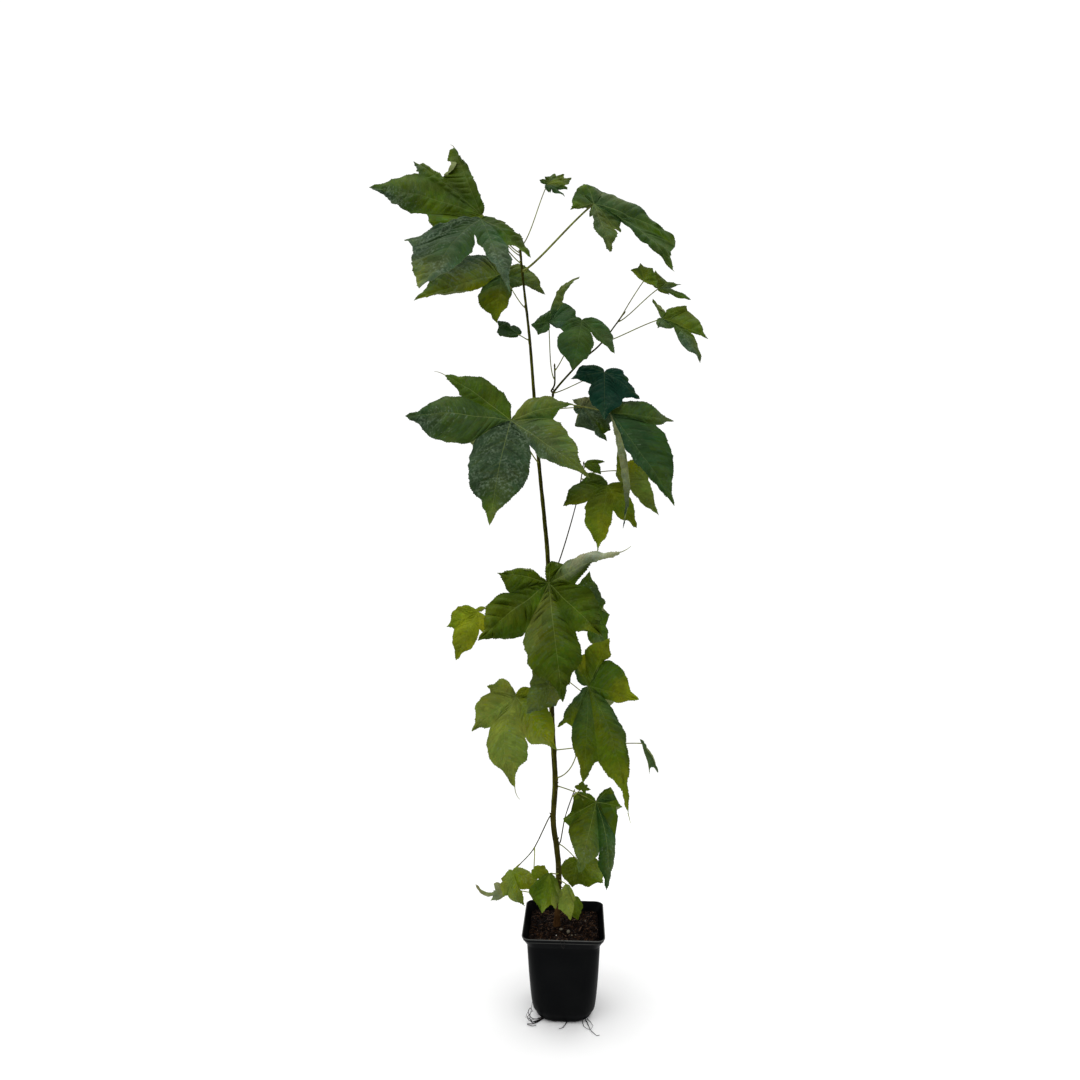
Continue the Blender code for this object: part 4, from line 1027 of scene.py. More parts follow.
class Blade:
    """A leaf blade in the making: one sheet of points, which gets its two sides at the end."""

    def __init__(self, name, normal, lobes, seed, crumple, settings):
        self.normal, self.lobes, self.settings, self.curls = normal, lobes, settings, CURLS.get(name, ())
        clear = "clear" if name in CLEAR_RIBS else "faint"
        self.rib_shows, self.vein_shows = RIB_SHOWS[clear], VEIN_SHOWS[clear]
        self.ladder, self.vein = Ladder(), Vector((*settings.vein_colour, 0.0))
        self.rng, self.seed, self.crumple = random.Random(seed), seed * 7.31, crumple
        usual = (TAPER_FROM, TAPER_TO, TAPER)
        tapers = [LONG_TIPS.get((name, i), usual) for i in range(len(lobes))]
        self.lines = [LobeLine(normal, lobe, taper) for lobe, taper in zip(lobes, tapers)]
        self.notches = [notch_after(normal, one, two) for one, two in zip(lobes, lobes[1:])]
        reach = max(lobe.reach for lobe in lobes)
        self.full = min(1.0, LEAST_FULL + (1 - LEAST_FULL) * reach / FULL_SIZE)
        self.points, self.faces, self.rim, self.shared = [], [], [], {}

    def swell(self, place):
        """The slow waves of the whole blade and the puckers in it."""
        wave = SWELL_WAVE * (0.5 + 0.5 * self.full)
        near = min(1.0, place.length / CALM_HUB)
        slow = noise.noise(place / wave + Vector((self.seed, 0, 0))) * self.settings.swell
        fine = noise.noise(place / PUCKER_WAVE + Vector((0, 0, self.seed))) * self.settings.pucker
        return (slow + fine) / MM * near * self.full * self.crumple

    def point(self, place, height, above=0.0, below=0.0, key=None):
        """Adds a point: its place in the plane, its height, and how far each side stands out there."""
        if key is not None and key in self.shared:
            return self.shared[key]
        self.points.append((place + self.normal * (height + self.swell(place)), above, below))
        if key is not None:
            self.shared[key] = len(self.points) - 1
        return len(self.points) - 1

    def face(self, corners, kind, clockwise, veined=False):
        """Adds a face whose corners run one way on one side of a rib and the other way on the other."""
        self.faces.append((corners if clockwise else corners[::-1], kind, veined))

    def rows_along(self, length, toothed, rng):
        """Rows of points along a stretch of margin: where they are and whether a side vein ends there."""
        groups = max(1, round(length / (self.settings.vein_pitch / MM * self.full)))
        stops = [length * (g + rng.uniform(-UNEVEN, UNEVEN)) / groups for g in range(1, groups)]
        tooth_pitch = self.settings.tooth_pitch / MM * (LEAST_PITCH + (1 - LEAST_PITCH) * self.full)
        pitch = tooth_pitch / 2 if toothed else ROW_PITCH
        found = [] if toothed else [END]
        for start, end in zip([0.0, *stops], [*stops, length]):
            if start:
                found += [Row(start - VEIN_EDGE, -1, 0.0, 0), Row(start + VEIN_EDGE, 1, 0.0, 0)]
            rows = max(2, 2 * round((end - start) / pitch / 2))
            for j in range(1, rows):
                found.append(Row(start + (end - start) * j / rows, 0, j / rows, j % 2))
        return [*found, END._replace(place=length)]

    def half_rows(self, i, side_sign):
        """One side of one lobe: its rows, their places on margin and rib, and how many are shared."""
        line, lobe = self.lines[i], self.lobes[i]
        at = i - 1 if side_sign < 0 else i
        notch = self.notches[at] if 0 <= at < len(self.notches) else None
        side, half = line.clockwise * side_sign, lobe.before if side_sign < 0 else lobe.after
        curve = line.clockwise * line.bend
        if notch is None:
            gap = math.radians((self.lobes[0].turn - self.lobes[-1].turn) % 360)
            controls = outer_margin(line.tip, side, half, curve, gap)
            inner, inside = [END], []
        else:
            controls = margin(line.tip, side, half, curve, notch)
            inner = self.rows_along(notch.length, False, random.Random(int(self.seed * 100) + at))
            inside = [notch * (row.place / notch.length) for row in inner[1:]]
        edge = [line.tapered(bezier(controls, share)) for share in parts(EDGE_STEPS)]
        outer = self.rows_along(line_length(edge), True, self.rng)
        outside = even_points(edge, [row.place for row in outer])
        places = [Vector(), *inside, *outside]
        return notch, at, inner + outer, places, len(inside)

    def shares(self, line, rows, places):
        """Where each row leaves the rib: behind its place on the margin, as a side vein does."""
        step = LEAST_STEP / line.length
        found = [0.0]
        for row, place in zip(rows[1:], places[1:]):
            off = abs(place.dot(line.clockwise))
            share = (place.dot(line.along) - VEIN_SLANT * off + row.vein * VEIN_ROOT) / line.length
            found.append(max(share, found[-1] + (2 * VEIN_ROOT / line.length if row.vein > 0 else step)))
        last = len(found) - 1
        return [min(share, 1 - step * (last - k)) for k, share in enumerate(found)]

    def curl(self, i, side_sign, free):
        """Width and turn of the curl at a place along a margin, and how much of it there is."""
        for lobe, half, start, end, width, turn in self.curls:
            if lobe == i and half == (side_sign > 0) and start < free < end:
                part = math.sin(math.pi * (free - start) / (end - start)) ** CURL_FULLNESS
                return width, math.radians(turn), part
        return 0.0, 0.0, 0.0

    def tint_at(self, looks, share, out, spot):
        """A face's own colour and dustiness: its half's, blending outward and across the rib."""
        own, other = (near.lerp(far, eased((share - where) / FADE + 0.5)) for near, far, where in looks)
        tint = own.lerp(other, 0.5 * (1 - eased(out / ACROSS)))
        place = spot + Vector((0.0, 0.0, self.seed))
        tone = sum(noise.noise(place / wave) * strength for wave, strength in TONES)
        hue = sum(noise.noise(place.zxy / wave) * strength for wave, strength in HUES)
        red, green, blue = (tint * math.exp(tone))[:3]
        return Vector((red * (1 + hue), green, blue * (1 - hue), tint[3]))

    def paint(self, tint, shows=0.0):
        """The kind of a face with that tint and a share of the ribs' own colour over it."""
        return self.ladder.rung(tint.lerp(self.vein, shows) if shows else tint, self.rng)

    def add_half(self, i, side_sign, rib, looks):
        """One half of a lobe: rows of points from the rib to the margin, and the faces between them."""
        line, settings, clockwise = self.lines[i], self.settings, side_sign > 0
        notch, at, rows, places, inside = self.half_rows(i, side_sign)
        shares = self.shares(line, rows, places)
        last = len(rows) - 1
        tooth, scallop = settings.tooth / MM * (0.5 + 0.5 * self.full), settings.scallop / MM * self.full
        waves = settings.ruffle, settings.quilt
        ruffle, quilt = (value / MM * self.full * self.crumple for value in waves)
        outer_length = rows[-1].place
        step = 0.0 if notch is None else self.shared_height(at, notch) - line.height(notch)
        grid = [[rib[0]] * len(COLUMNS)]
        for k in range(1, last):
            row, place, share = rows[k], places[k], shares[k]
            foot = line.rib(share)
            free, key = 0.0, ("line", at, k)
            if k <= inside:
                edge_height = self.shared_height(at, place)
            else:
                free, key = row.place / outer_length, None
                edge_height = line.height(place) + step * (1 - free) ** 2
                tangent = (places[k + 1] - places[k - 1]).normalized()
                out = tangent.cross(self.normal)
                out = out if out.dot(place - foot) > 0 else -out
                fade = min(1.0, FADES_IN * free, FADES_OUT * (1 - free))
                bite = tooth * self.rng.choice(BITES) * row.tooth
                stray = sum(noise.noise(place / wave + Vector((0, self.seed, wave))) * wave
                            for wave in WOBBLE_WAVES) * WOBBLE * self.full / WOBBLE_WAVES[0]
                stray += scallop * math.sin(math.pi * row.phase)
                place = place + (out * (bite + stray) + tangent * bite) * fade
                edge_height += ruffle * fade * noise.noise(place / RUFFLE_WAVE + Vector((self.seed, 3, 0)))
            curl = self.curl(i, side_sign, free)
            grid.append(self.column(line, place, foot, share, edge_height, row, free, quilt, key, curl))
        grid.append([rib[-1]] * len(COLUMNS))
        for k in range(last):
            reach = VEIN_REACH[k > inside] if rows[k].vein < 0 else 0
            for c in range(len(COLUMNS) - 1):
                tint = self.tint_at(looks, shares[k], COLUMNS[c], self.points[grid[k][c]][0])
                corners = (grid[k][c], grid[k][c + 1], grid[k + 1][c + 1], grid[k + 1][c])
                self.face(corners, self.paint(tint, self.vein_shows * (c < reach)), clockwise, c < reach)
            if k >= inside:
                self.rim.append((grid[k][-1], grid[k + 1][-1], clockwise))
        self.stitch(rib, parts(len(rib) - 1), [row[0] for row in grid], shares, looks, clockwise)

    def column(self, line, place, foot, share, edge_height, row, free, quilt, key, curl):
        """One row of points from beside the rib out to the margin, level where two lobes join."""
        reach = place - foot
        width, ahead = reach.length, reach.normalized()
        rib_half = self.settings.rib_width / MM * self.full * 0.5 * (1 - RIB_THINS * share)
        first = min(RIB_MOST, rib_half / max(width, LEAST_WIDTH))
        curl_width, curl_turn, part = curl
        curl_width = min(curl_width * part, width * CURL_MOST)
        flat = 1 - curl_width / max(width, LEAST_WIDTH)
        found = []
        for usual, curled in zip(COLUMNS, CURLED):
            t = first + (1 - first) * (usual + (curled - usual) * part)
            hump = 4 * t * (1 - t)
            profile = eased(t) + (t - eased(t)) * (1 - (1 - free) ** 2)
            spot = foot + reach * min(t, flat) - line.along * (VEIN_BOW * width * hump)
            high = line.height(foot) * (1 - profile) + edge_height * profile
            high += DOME * width * hump * min(1.0, 3 * free)
            bulge = 1 + QUILT_UNEVEN * noise.noise(spot / QUILT_WAVE + Vector((9.0, self.seed, 0.0)))
            high += quilt * bulge * min(1.0, width / NARROW) * math.sin(math.pi * row.phase) * hump ** 2
            if t > flat and curl_width > LEAST_WIDTH:
                radius, run = FOLD * curl_width / curl_turn, (t - flat) * width
                turn, rest = min(curl_turn, run / radius), max(0.0, run - FOLD * curl_width)
                spot = spot + ahead * (radius * math.sin(turn) + rest * math.cos(turn))
                high += radius * (1 - math.cos(turn)) + rest * math.sin(turn)
            sunk = self.full * (1 - t) if row.vein else 0.0
            found.append(self.point(spot, high, -VEIN_ABOVE * sunk, VEIN_BELOW * sunk,
                                    key if usual == 1.0 else None))
        return found

    def stitch(self, rib, rib_shares, column, shares, looks, clockwise):
        """Joins the rib's own points to the first column beside it, which has rows of its own."""
        a = b = 0
        while a < len(rib) - 1 or b < len(column) - 1:
            tint = self.tint_at(looks, shares[b], 0.0, self.points[column[b]][0])
            kind = self.paint(tint, self.rib_shows)
            if b == len(column) - 1 or (a < len(rib) - 1 and rib_shares[a + 1] <= shares[b + 1]):
                self.face((rib[a], column[b], rib[a + 1]), kind, clockwise, True)
                a += 1
            else:
                self.face((rib[a], column[b], column[b + 1]), kind, clockwise, True)
                b += 1

    def shared_height(self, at, place):
        """The height where two lobes join, halfway between theirs."""
        return (self.lines[at].height(place) + self.lines[at + 1].height(place)) / 2

    def add_rib(self, i):
        """The points along one rib, sunk a little above and standing out below."""
        line = self.lines[i]
        count = max(4, int(line.length / RIB_PITCH))
        rise = self.settings.rib_rise / MM * self.full
        points = []
        for share in parts(count):
            place = line.rib(share)
            points.append(self.point(place, line.height(place), -RIB_ABOVE * self.full * (1 - share),
                                     rise * (1 - RIB_LOWERS * share), None if share else "hub"))
        return points

    def normals(self):
        """Which way the sheet faces at each of its points."""
        found = [Vector() for _ in self.points]
        for corners, _, _ in self.faces:
            places = [self.points[corner][0] for corner in corners]
            square = (places[2] - places[0]).cross(places[-1] - places[1 if len(places) > 3 else 0])
            for corner in corners:
                found[corner] += square
        return [one.normalized() if one.length else self.normal for one in found]

    def finish(self, shell, hub):
        """Gives the sheet its thickness in the shell: two sides and the rim between them."""
        half, normals = self.settings.thickness / MM / 2, self.normals()
        count, base = len(self.points), len(shell.points)
        for (place, above, _), out in zip(self.points, normals):
            shell.point(hub + place + out * (half + above))
        for (place, _, below), out in zip(self.points, normals):
            shell.point(hub + place - out * (half + below))
        for corners, kind, veined in self.faces:
            shell.face([base + c for c in corners], kind)
            shell.face([base + count + c for c in reversed(corners)], UNDER_RIB if veined else UNDER)
        for a, b, clockwise in self.rim:
            a, b = (b, a) if clockwise else (a, b)
            shell.face((base + a, base + b, base + count + b, base + count + a), UNDER)


STALK_PITCH, STALK_STEPS, STALK_SIDES = 3.0, 10, 8
STALK_OUT = 0.5                 # how far a stalk first runs out of its limb, against the limb's radius
STALK_LEAVES, STALK_ARRIVES = 0.15, 0.35        # where its two control points stand along its way
STALK_SUNK = 0.25               # how deep behind the blade it ends
STALK_THICK, STALK_THINS = 1.08, 0.16   # its thickness at the foot against the usual, and what it loses
STALK_FOOT, FOOT_LENGTH = 0.55, 2.6     # how much thicker a stalk is at its foot, and over which length
STALK_HEAD, HEAD_LENGTH = 0.18, 3.0     # how much it widens into the ribs, in millimetres, and its length
TAIL_STEPS, TAIL_SIDES, TAIL_SUNK = 12, 6, 2.5
TAIL_COURSE = ((0.35, 0.0), (0.5, 0.25), (0.5, 0.5))    # its control points: along the lobe, and turned
TAIL_ROOT, TAIL_THINS = 0.5, 0.32       # a tail's radius where it starts, and how much it loses


def add_stalk(shell, leaf, limbs, hub, normal, thick, settings):
    """The stalk, from a swollen foot inside its limb to the hub, where it spreads into the ribs."""
    start, away, radius = leave_limb(limbs[leaf.limb], leaf.height, hub)
    span = (hub - start).length
    set_off = away * (span * leaf.spread + radius * STALK_OUT)
    controls = (start, start + set_off + (hub - start) * STALK_LEAVES,
                hub + (start - hub) * STALK_ARRIVES + UP * (span * STALK_BOW), hub - normal * STALK_SUNK)
    shares = parts(max(STALK_STEPS, int(span / STALK_PITCH)))
    usual = settings.stalk / MM / 2 * thick
    radii = []
    for share in shares:
        foot = STALK_FOOT * math.exp(-share * span / FOOT_LENGTH)
        head = STALK_HEAD * math.exp(-(1 - share) * span / HEAD_LENGTH)
        radii.append(usual * (STALK_THICK - STALK_THINS * share) + foot * usual + head)
    route = [bezier(controls, share) for share in shares]
    shell.rings(tube_rings(route, radii, STALK_SIDES, away), STALK)


def add_tail(shell, blade, hub, i, length, bend):
    """A thin dry tail out of a lobe's tip."""
    line = blade.lines[i]
    tip = line.tip + blade.normal * (line.height(line.tip) + blade.swell(line.tip))
    turned = Matrix.Rotation(-math.radians(bend), 3, blade.normal) @ line.along
    places = [line.along * -TAIL_SUNK]
    for ahead, aside in TAIL_COURSE:
        places.append(line.along * (length * ahead) + turned * (length * aside))
    route = [bezier([hub + tip + place for place in places], share) for share in parts(TAIL_STEPS)]
    radii = [TAIL_ROOT - TAIL_THINS * share for share in parts(TAIL_STEPS)]
    shell.rings(tube_rings(route, radii, TAIL_SIDES, line.along), STALK)


def tint_of(name):
    """A tint's linear colour and dustiness."""
    face, dusty = TINTS[name]
    return Vector((*linear(face), dusty))


def sector_looks(usual, changes, lobes):
    """For each half of each lobe its tint near the hub, its tint further out and where it changes."""
    found = {}
    for i in range(len(lobes)):
        for half in (0, 1):
            look = changes.get((i, half), changes.get(i + half, usual))
            near, far, where = (look, look, 1.0) if isinstance(look, str) else look
            found[i, half] = (tint_of(near), tint_of(far), where)
    return found


def build_leaf(name, row, seed, limbs, settings):
    leaf = Leaf(*row)
    usual, changes, crumple = LOOKS[name]
    normal, hub = facing_normal(*leaf.facing), Vector(leaf.hub)
    lobes = [Lobe(*lobe) for lobe in leaf.lobes]
    blade = Blade(name, normal, lobes, seed, crumple, settings)
    looks = sector_looks(usual, changes, lobes)
    for i in range(len(lobes)):
        rib = blade.add_rib(i)
        blade.add_half(i, -1, rib, (looks[i, 0], looks[i, 1]))
        blade.add_half(i, 1, rib, (looks[i, 1], looks[i, 0]))
    shell = Shell()
    blade.finish(shell, hub)
    add_stalk(shell, leaf, limbs, hub, normal, THICK_STALKS.get(name, 1.0), settings)
    for tail in TAILS.get(name, ()):
        add_tail(shell, blade, hub, *tail)
    materials = [material("leaf_underside", downy_underside, settings.under_colour, "#8b9463"),
                 material("leaf_rib_below", sappy_rib, "#8a9160", "#777e4c"),
                 material("leaf_stalk", sappy_rib, settings.stalk_colour, "#66662c"),
                 *blade.ladder.materials()]
    shell.build(name.replace("leaf", "blade"), materials, "leaf", name, smooth=70.0)


def build_leaves(settings):
    limbs = limb_lines()
    for seed, (name, row) in enumerate(LEAVES.items(), 1):
        build_leaf(name, row, seed, limbs, settings)


# ---- pot ----------------------------------------------------------------------------------------
NECK_HEIGHT = 85.0
FOOT_CORNER, RIM_CORNER = 21.0, 9.0     # corner radii at the foot and at the rim
WALL_BELLY = 0.42               # how soon the wall bellies out above the foot; 1 is a straight wall
HEEL, HEEL_DEPTH = 6.0, 4.8     # height and depth of the rounded edge round the foot
HEEL_STEPS, INNER_STEPS = 6, 7
LIP_DEPTH, LIP_LEAN, LIP_WALL = 4.0, 1.2, 1.3   # the lip: how high, how far it flares, how thick
POT_FLOOR, FLOOR_CORNER = 1.5, 1.6      # thickness of the floor, and the slope where it meets the wall
DRAIN_OFFSET, DRAIN_SIDES = 19.0, 24
CORNER_STEPS, SIDE_STEPS, WALL_STEPS = 8, 14, 22
SWAY_WAVE, SWAY_HEIGHT = 1.7, 60.0      # how many bows a wall has, how high they reach
SWAY_OUT, SWAY_SHIFT = 0.25, 9.1        # how far out they tend, how unlike the four walls are
PLAIN, LIP_HIGHLIGHT, RIM_HIGHLIGHT = range(3)       # the pot's plastic: as moulded, with a painted highlight along the lip's lower edge, and a paler painted highlight along the rim's top


def rounded_square(half, corner, height, sway=0.0):
    """A level square outline with rounded corners, whose straight sides bow out a little by sway."""
    points = []
    for quarter in range(4):
        middle = math.pi / 4 + math.pi / 2 * quarter
        x, y = (math.copysign(half - corner, f(middle)) for f in (math.cos, math.sin))
        for k in range(CORNER_STEPS + 1):
            turn = math.pi / 2 * (quarter + k / CORNER_STEPS)
            points.append(Vector((x + corner * math.cos(turn), y + corner * math.sin(turn), height)))
        start, out = points[-1], Vector((math.cos(math.pi / 2 * (quarter + 1)),
                                         math.sin(math.pi / 2 * (quarter + 1)), 0.0))
        along = Vector((-out.y, out.x, 0.0)) * (2 * (half - corner))
        for k in range(1, SIDE_STEPS):
            share = k / SIDE_STEPS
            spot = start + along * share
            place = Vector((quarter * SWAY_SHIFT, share * SWAY_WAVE, height / SWAY_HEIGHT))
            bow = noise.noise(place) + SWAY_OUT
            points.append(spot + out * (sway * bow * math.sin(math.pi * share)))
    return points


def pot_sections(settings):
    """Half widths and heights down the outside and up the inside, with rounded edges."""
    neck, foot, wall = settings.neck / MM / 2, settings.foot / MM / 2, settings.wall / MM
    band, band_half = POT_HEIGHT - LIP_DEPTH, RIM_HALF - LIP_LEAN

    def side(height, inset):
        return foot + (neck - foot) * ((height - HEEL) / (NECK_HEIGHT - HEEL)) ** WALL_BELLY - inset

    outer = []
    for k in range(HEEL_STEPS + 1):
        turn = math.pi / 2 * k / HEEL_STEPS
        outer.append((foot - HEEL_DEPTH + HEEL_DEPTH * math.sin(turn), HEEL * (1 - math.cos(turn))))
    for k in range(1, WALL_STEPS + 1):
        height = HEEL + (NECK_HEIGHT - HEEL) * k / WALL_STEPS
        outer.append((side(height, 0.0), height))
    outer += [(neck + 0.25, NECK_HEIGHT + 0.9), (band_half - 0.5, band - 0.5), (band_half, band),
              (band_half + 0.1, band + 0.4), (RIM_HALF - 0.12, POT_HEIGHT - 0.55),
              (RIM_HALF - 0.02, POT_HEIGHT - 0.25), (RIM_HALF - 0.3, POT_HEIGHT)]
    inner = [(RIM_HALF - LIP_WALL + 0.25, POT_HEIGHT), (RIM_HALF - LIP_WALL, POT_HEIGHT - 0.25),
             (band_half - LIP_WALL, band), (neck - wall, NECK_HEIGHT)]
    for k in range(INNER_STEPS - 1, 0, -1):
        height = HEEL + (NECK_HEIGHT - HEEL) * k / INNER_STEPS
        inner.append((side(height, wall), height))
    inner += [(side(HEEL, wall), HEEL), (side(HEEL, wall + FLOOR_CORNER), POT_FLOOR)]
    return outer, inner


def pot_corner(height, inset):
    """The radius of the pot's corners at a height, on its outside or inside."""
    return FOOT_CORNER + (RIM_CORNER - FOOT_CORNER) * height / POT_HEIGHT - inset


def wall_sway(height, settings):
    """How far the walls bow at a height: not at all at foot and neck."""
    return settings.sway / MM * math.sin(math.pi * min(1.0, height / NECK_HEIGHT)) ** 0.5


def drill(pot, spots, radius, depth):
    """Cuts round holes through the pot's floor."""
    bm = bmesh.new()
    for x, y in spots:
        place = Matrix.Translation((x * MM, y * MM, 0.0))
        bmesh.ops.create_cone(bm, cap_ends=True, segments=DRAIN_SIDES, radius1=radius, radius2=radius,
                              depth=depth, matrix=place)
    holes = bpy.data.meshes.new("drain_holes")
    bm.to_mesh(holes)
    bm.free()
    cutter = place_object("drain_holes", holes)
    cut = pot.modifiers.new("drain", "BOOLEAN")
    cut.operation = "DIFFERENCE"
    cut.object = cutter
    depsgraph = bpy.context.evaluated_depsgraph_get()
    pot.data = bpy.data.meshes.new_from_object(pot.evaluated_get(depsgraph))
    pot.modifiers.clear()
    bpy.data.objects.remove(cutter, do_unlink=True)


def build_pot(settings):
    outer, inner = pot_sections(settings)
    outlines = []
    for sections, inset in ((outer, 0.0), (inner, settings.wall / MM)):
        for half, z in sections:
            outlines.append(rounded_square(half, pot_corner(z, inset), z, wall_sway(z, settings)))
    last = len(outer) - 1
    # Painted highlights: the lip's lower edge and the rim's top take paler plastic where light catches
    # them.
    paled = {last - 5: LIP_HIGHLIGHT, last - 4: LIP_HIGHLIGHT, last - 2: RIM_HIGHLIGHT, last - 1: RIM_HIGHLIGHT, last: RIM_HIGHLIGHT}
    shell = Shell()
    shell.rings(outlines, lambda ring, side: paled.get(ring, PLAIN))
    plastics = [material("polypropylene_moulded", moulded_plastic, settings.plastic, "#111212"),
                material("polypropylene_painted_highlight_lip", moulded_plastic, "#3a3b39", "#5a5a5a"),
                material("polypropylene_painted_highlight_rim", moulded_plastic, "#474846", "#6c6c69")]
    pot = shell.build("pot_moulded", plastics, "pot", "pot", smooth=35.0)
    spots = [(sx * DRAIN_OFFSET, sy * DRAIN_OFFSET) for sx in (-1, 1) for sy in (-1, 1)]
    drill(pot, spots, settings.drain / 2, POT_FLOOR * 4 * MM)


# ---- peat ---------------------------------------------------------------------------------------
PEAT_RINGS = 45                 # rings of faces from the wall to the middle of the peat's top
PEAT_CLEAR = 0.6                # space between peat and wall
PEAT_SINKS, EDGE_SINKS = 1.2, 1.6        # how far the peat lies below its level, and more at the wall
HEAP, HEAP_WIDTH = 1.6, 160.0   # height and squared width of the heap round the stem
BRIM_SINKS = 3.5                # how far below its level the peat meets the wall
LUMPS = [(9.0, 0.7, (0, 0, 0)), (3.2, 0.45, (5, 0, 0)), (1.5, 0.3, (0, 9, 0))]  # length, height, shift
LUMPINESS = 0.8
LUMP_WIDE, LUMP_HIGH, POLE = (0.7, 1.3), (0.5, 0.9), 0.08       # how loose lumps vary; their flat ends
CRUMB_SIZES, CRUMB_KINDS = (0.5, 0.7, 0.9, 1.4), (0, 0, 0, 0, 1, 1, 2)
FIBRE_STEPS, FIBRE_SIDES = 6, 5
FIBRE_REACH, FIBRE_THICK = (3.0, 14.0), (0.12, 0.3)
FIBRE_BEND, FIBRE_CLEAR, FIBRE_ARCH = 0.25, 0.25, 1.1   # sideways bend, and height over the peat
FIBRE_KINDS = (0, 0, 0, 1, 1, 1, 2, 2)
QUARTZ, PERLITE = range(2)
# Grit on the peat: x, y, width and what it is.
STONES = [(5.0, -13.0, 5.2, QUARTZ), (-8.0, -20.0, 1.5, PERLITE), (9.0, -19.0, 2.2, QUARTZ),
          (13.0, -18.0, 1.8, QUARTZ), (24.0, 12.0, 2.0, QUARTZ), (-3.0, -9.0, 3.6, QUARTZ)]


def peat_height(x, y, settings):
    """The uneven top of the peat: low at the walls, heaped a little round the stem."""
    place = Vector((x, y, 0.0))
    coarse, middle, fine = (noise.noise(place / wave + Vector(shift)) * high for wave, high, shift in LUMPS)
    edge = max(abs(x), abs(y)) / RIM_HALF
    heap = HEAP * math.exp(-((x - STEM_ROUTE[0][0]) ** 2 + y ** 2) / HEAP_WIDTH)
    lumps = settings.uneven / MM * (coarse + middle + fine) * LUMPINESS
    return SOIL_LEVEL - PEAT_SINKS - EDGE_SINKS * edge ** 3 + heap + lumps


def peat_half(settings):
    """Half width of the peat where its top meets the wall's inside."""
    neck = settings.neck / MM / 2
    band, band_half = POT_HEIGHT - LIP_DEPTH, RIM_HALF - LIP_LEAN
    share = (SOIL_LEVEL - BRIM_SINKS - NECK_HEIGHT) / (band - NECK_HEIGHT)
    return neck + (band_half - neck) * share - LIP_WALL - PEAT_CLEAR


def milled_peat(settings):
    """The peat that the block and most of its crumbs are made of."""
    return material("peat_milled", moist_crumb, settings.peat, "#120b08")


def build_peat(settings, pot):
    """The block of peat: a fine uneven top on the plain block that fills the pot."""
    neck, foot = pot.neck / MM / 2, pot.foot / MM / 2
    inset = pot.wall / MM + PEAT_CLEAR
    levels = [(foot - inset - 2.0, POT_FLOOR + PEAT_CLEAR), (foot - inset, HEEL + 1.0),
              (neck - inset, NECK_HEIGHT - 0.5)]
    outlines = [rounded_square(half, pot_corner(z, inset), z) for half, z in levels]
    brim = rounded_square(peat_half(pot), pot_corner(SOIL_LEVEL, inset), SOIL_LEVEL)
    for k in range(PEAT_RINGS):
        share = 1 - k / PEAT_RINGS
        spots = [(point.x * share, point.y * share) for point in brim]
        outlines.append([Vector((x, y, peat_height(x, y, settings))) for x, y in spots])
    shell = Shell()
    shell.rings(outlines, 0)
    shell.build("peat_block", [milled_peat(settings)], "soil", "soil", smooth=180.0)


def on_peat(rng, settings, pot, clear):
    """A place by chance on the peat, clear of the wall."""
    half = peat_half(pot) - clear
    x, y = rng.uniform(-half, half), rng.uniform(-half, half)
    return Vector((x, y, peat_height(x, y, settings)))


def add_lump(shell, rng, centre, radius, kind, rings=4, sides=6, rough=0.3):
    """A small irregular closed lump."""
    squash = Vector([rng.uniform(*spread) for spread in (LUMP_WIDE, LUMP_WIDE, LUMP_HIGH)])
    turned = Matrix.Rotation(rng.uniform(0, FULL_TURN), 3, "Z")
    outlines = []
    for k in range(rings + 1):
        tilt = math.pi * (POLE + (1 - 2 * POLE) * k / rings)
        ring = []
        for turn in around(sides):
            out = Vector((math.sin(tilt) * math.cos(turn), math.sin(tilt) * math.sin(turn),
                          -math.cos(tilt)))
            reach = radius * (1 + rng.uniform(-rough, rough))
            ring.append(centre + turned @ Vector(a * b for a, b in zip(out * reach, squash)))
        outlines.append(ring)
    shell.rings(outlines, kind)


def build_crumbs(settings, pot):
    rng = random.Random(3)
    shell = Shell()
    for _ in range(settings.crumbs):
        radius = rng.choice(CRUMB_SIZES) * rng.uniform(*LUMP_WIDE)
        spot = on_peat(rng, settings, pot, 0.6)
        add_lump(shell, rng, spot + UP * (radius * 0.15), radius, rng.choice(CRUMB_KINDS))
    crumbs = [milled_peat(settings),
              material("peat_brown", moist_crumb, "#0d0704", "#1c110b"),
              material("peat_wood_bits", moist_crumb, "#150b06", "#21130b")]
    shell.build("peat_crumbs", crumbs, "soil", smooth=30.0)


def build_fibres(settings, pot):
    rng = random.Random(8)
    shell = Shell()
    limit = peat_half(pot) - 1.0
    for _ in range(settings.fibres):
        start = on_peat(rng, settings, pot, 3.0)
        heading = rng.uniform(0, FULL_TURN)
        reach = rng.uniform(*FIBRE_REACH)
        ahead = Vector((math.cos(heading), math.sin(heading), 0.0))
        aside = Vector((-ahead.y, ahead.x, 0.0)) * rng.uniform(-FIBRE_BEND, FIBRE_BEND) * reach
        route = []
        for share in parts(FIBRE_STEPS):
            spot = start + ahead * ((share - 0.5) * reach) + aside * (4 * share * (1 - share))
            spot.x, spot.y = (min(limit, max(-limit, value)) for value in (spot.x, spot.y))
            lift = FIBRE_ARCH * share * (1 - share) * rng.random()
            spot.z = peat_height(spot.x, spot.y, settings) + FIBRE_CLEAR + lift
            route.append(spot)
        thick = rng.uniform(*FIBRE_THICK)
        radii = [thick * (0.5 + 2 * share * (1 - share)) for share in parts(FIBRE_STEPS)]
        shell.rings(tube_rings(route, radii, FIBRE_SIDES, ahead), rng.choice(FIBRE_KINDS))
    fibres = [material("peat_fibre", moist_crumb, settings.fibre, "#3d2616"),
              material("root_hair", sappy_rib, "#120b08", "#24160f"),
              material("straw_bit", sappy_rib, "#4a3322", "#654a33")]
    shell.build("peat_fibres", fibres, "soil")


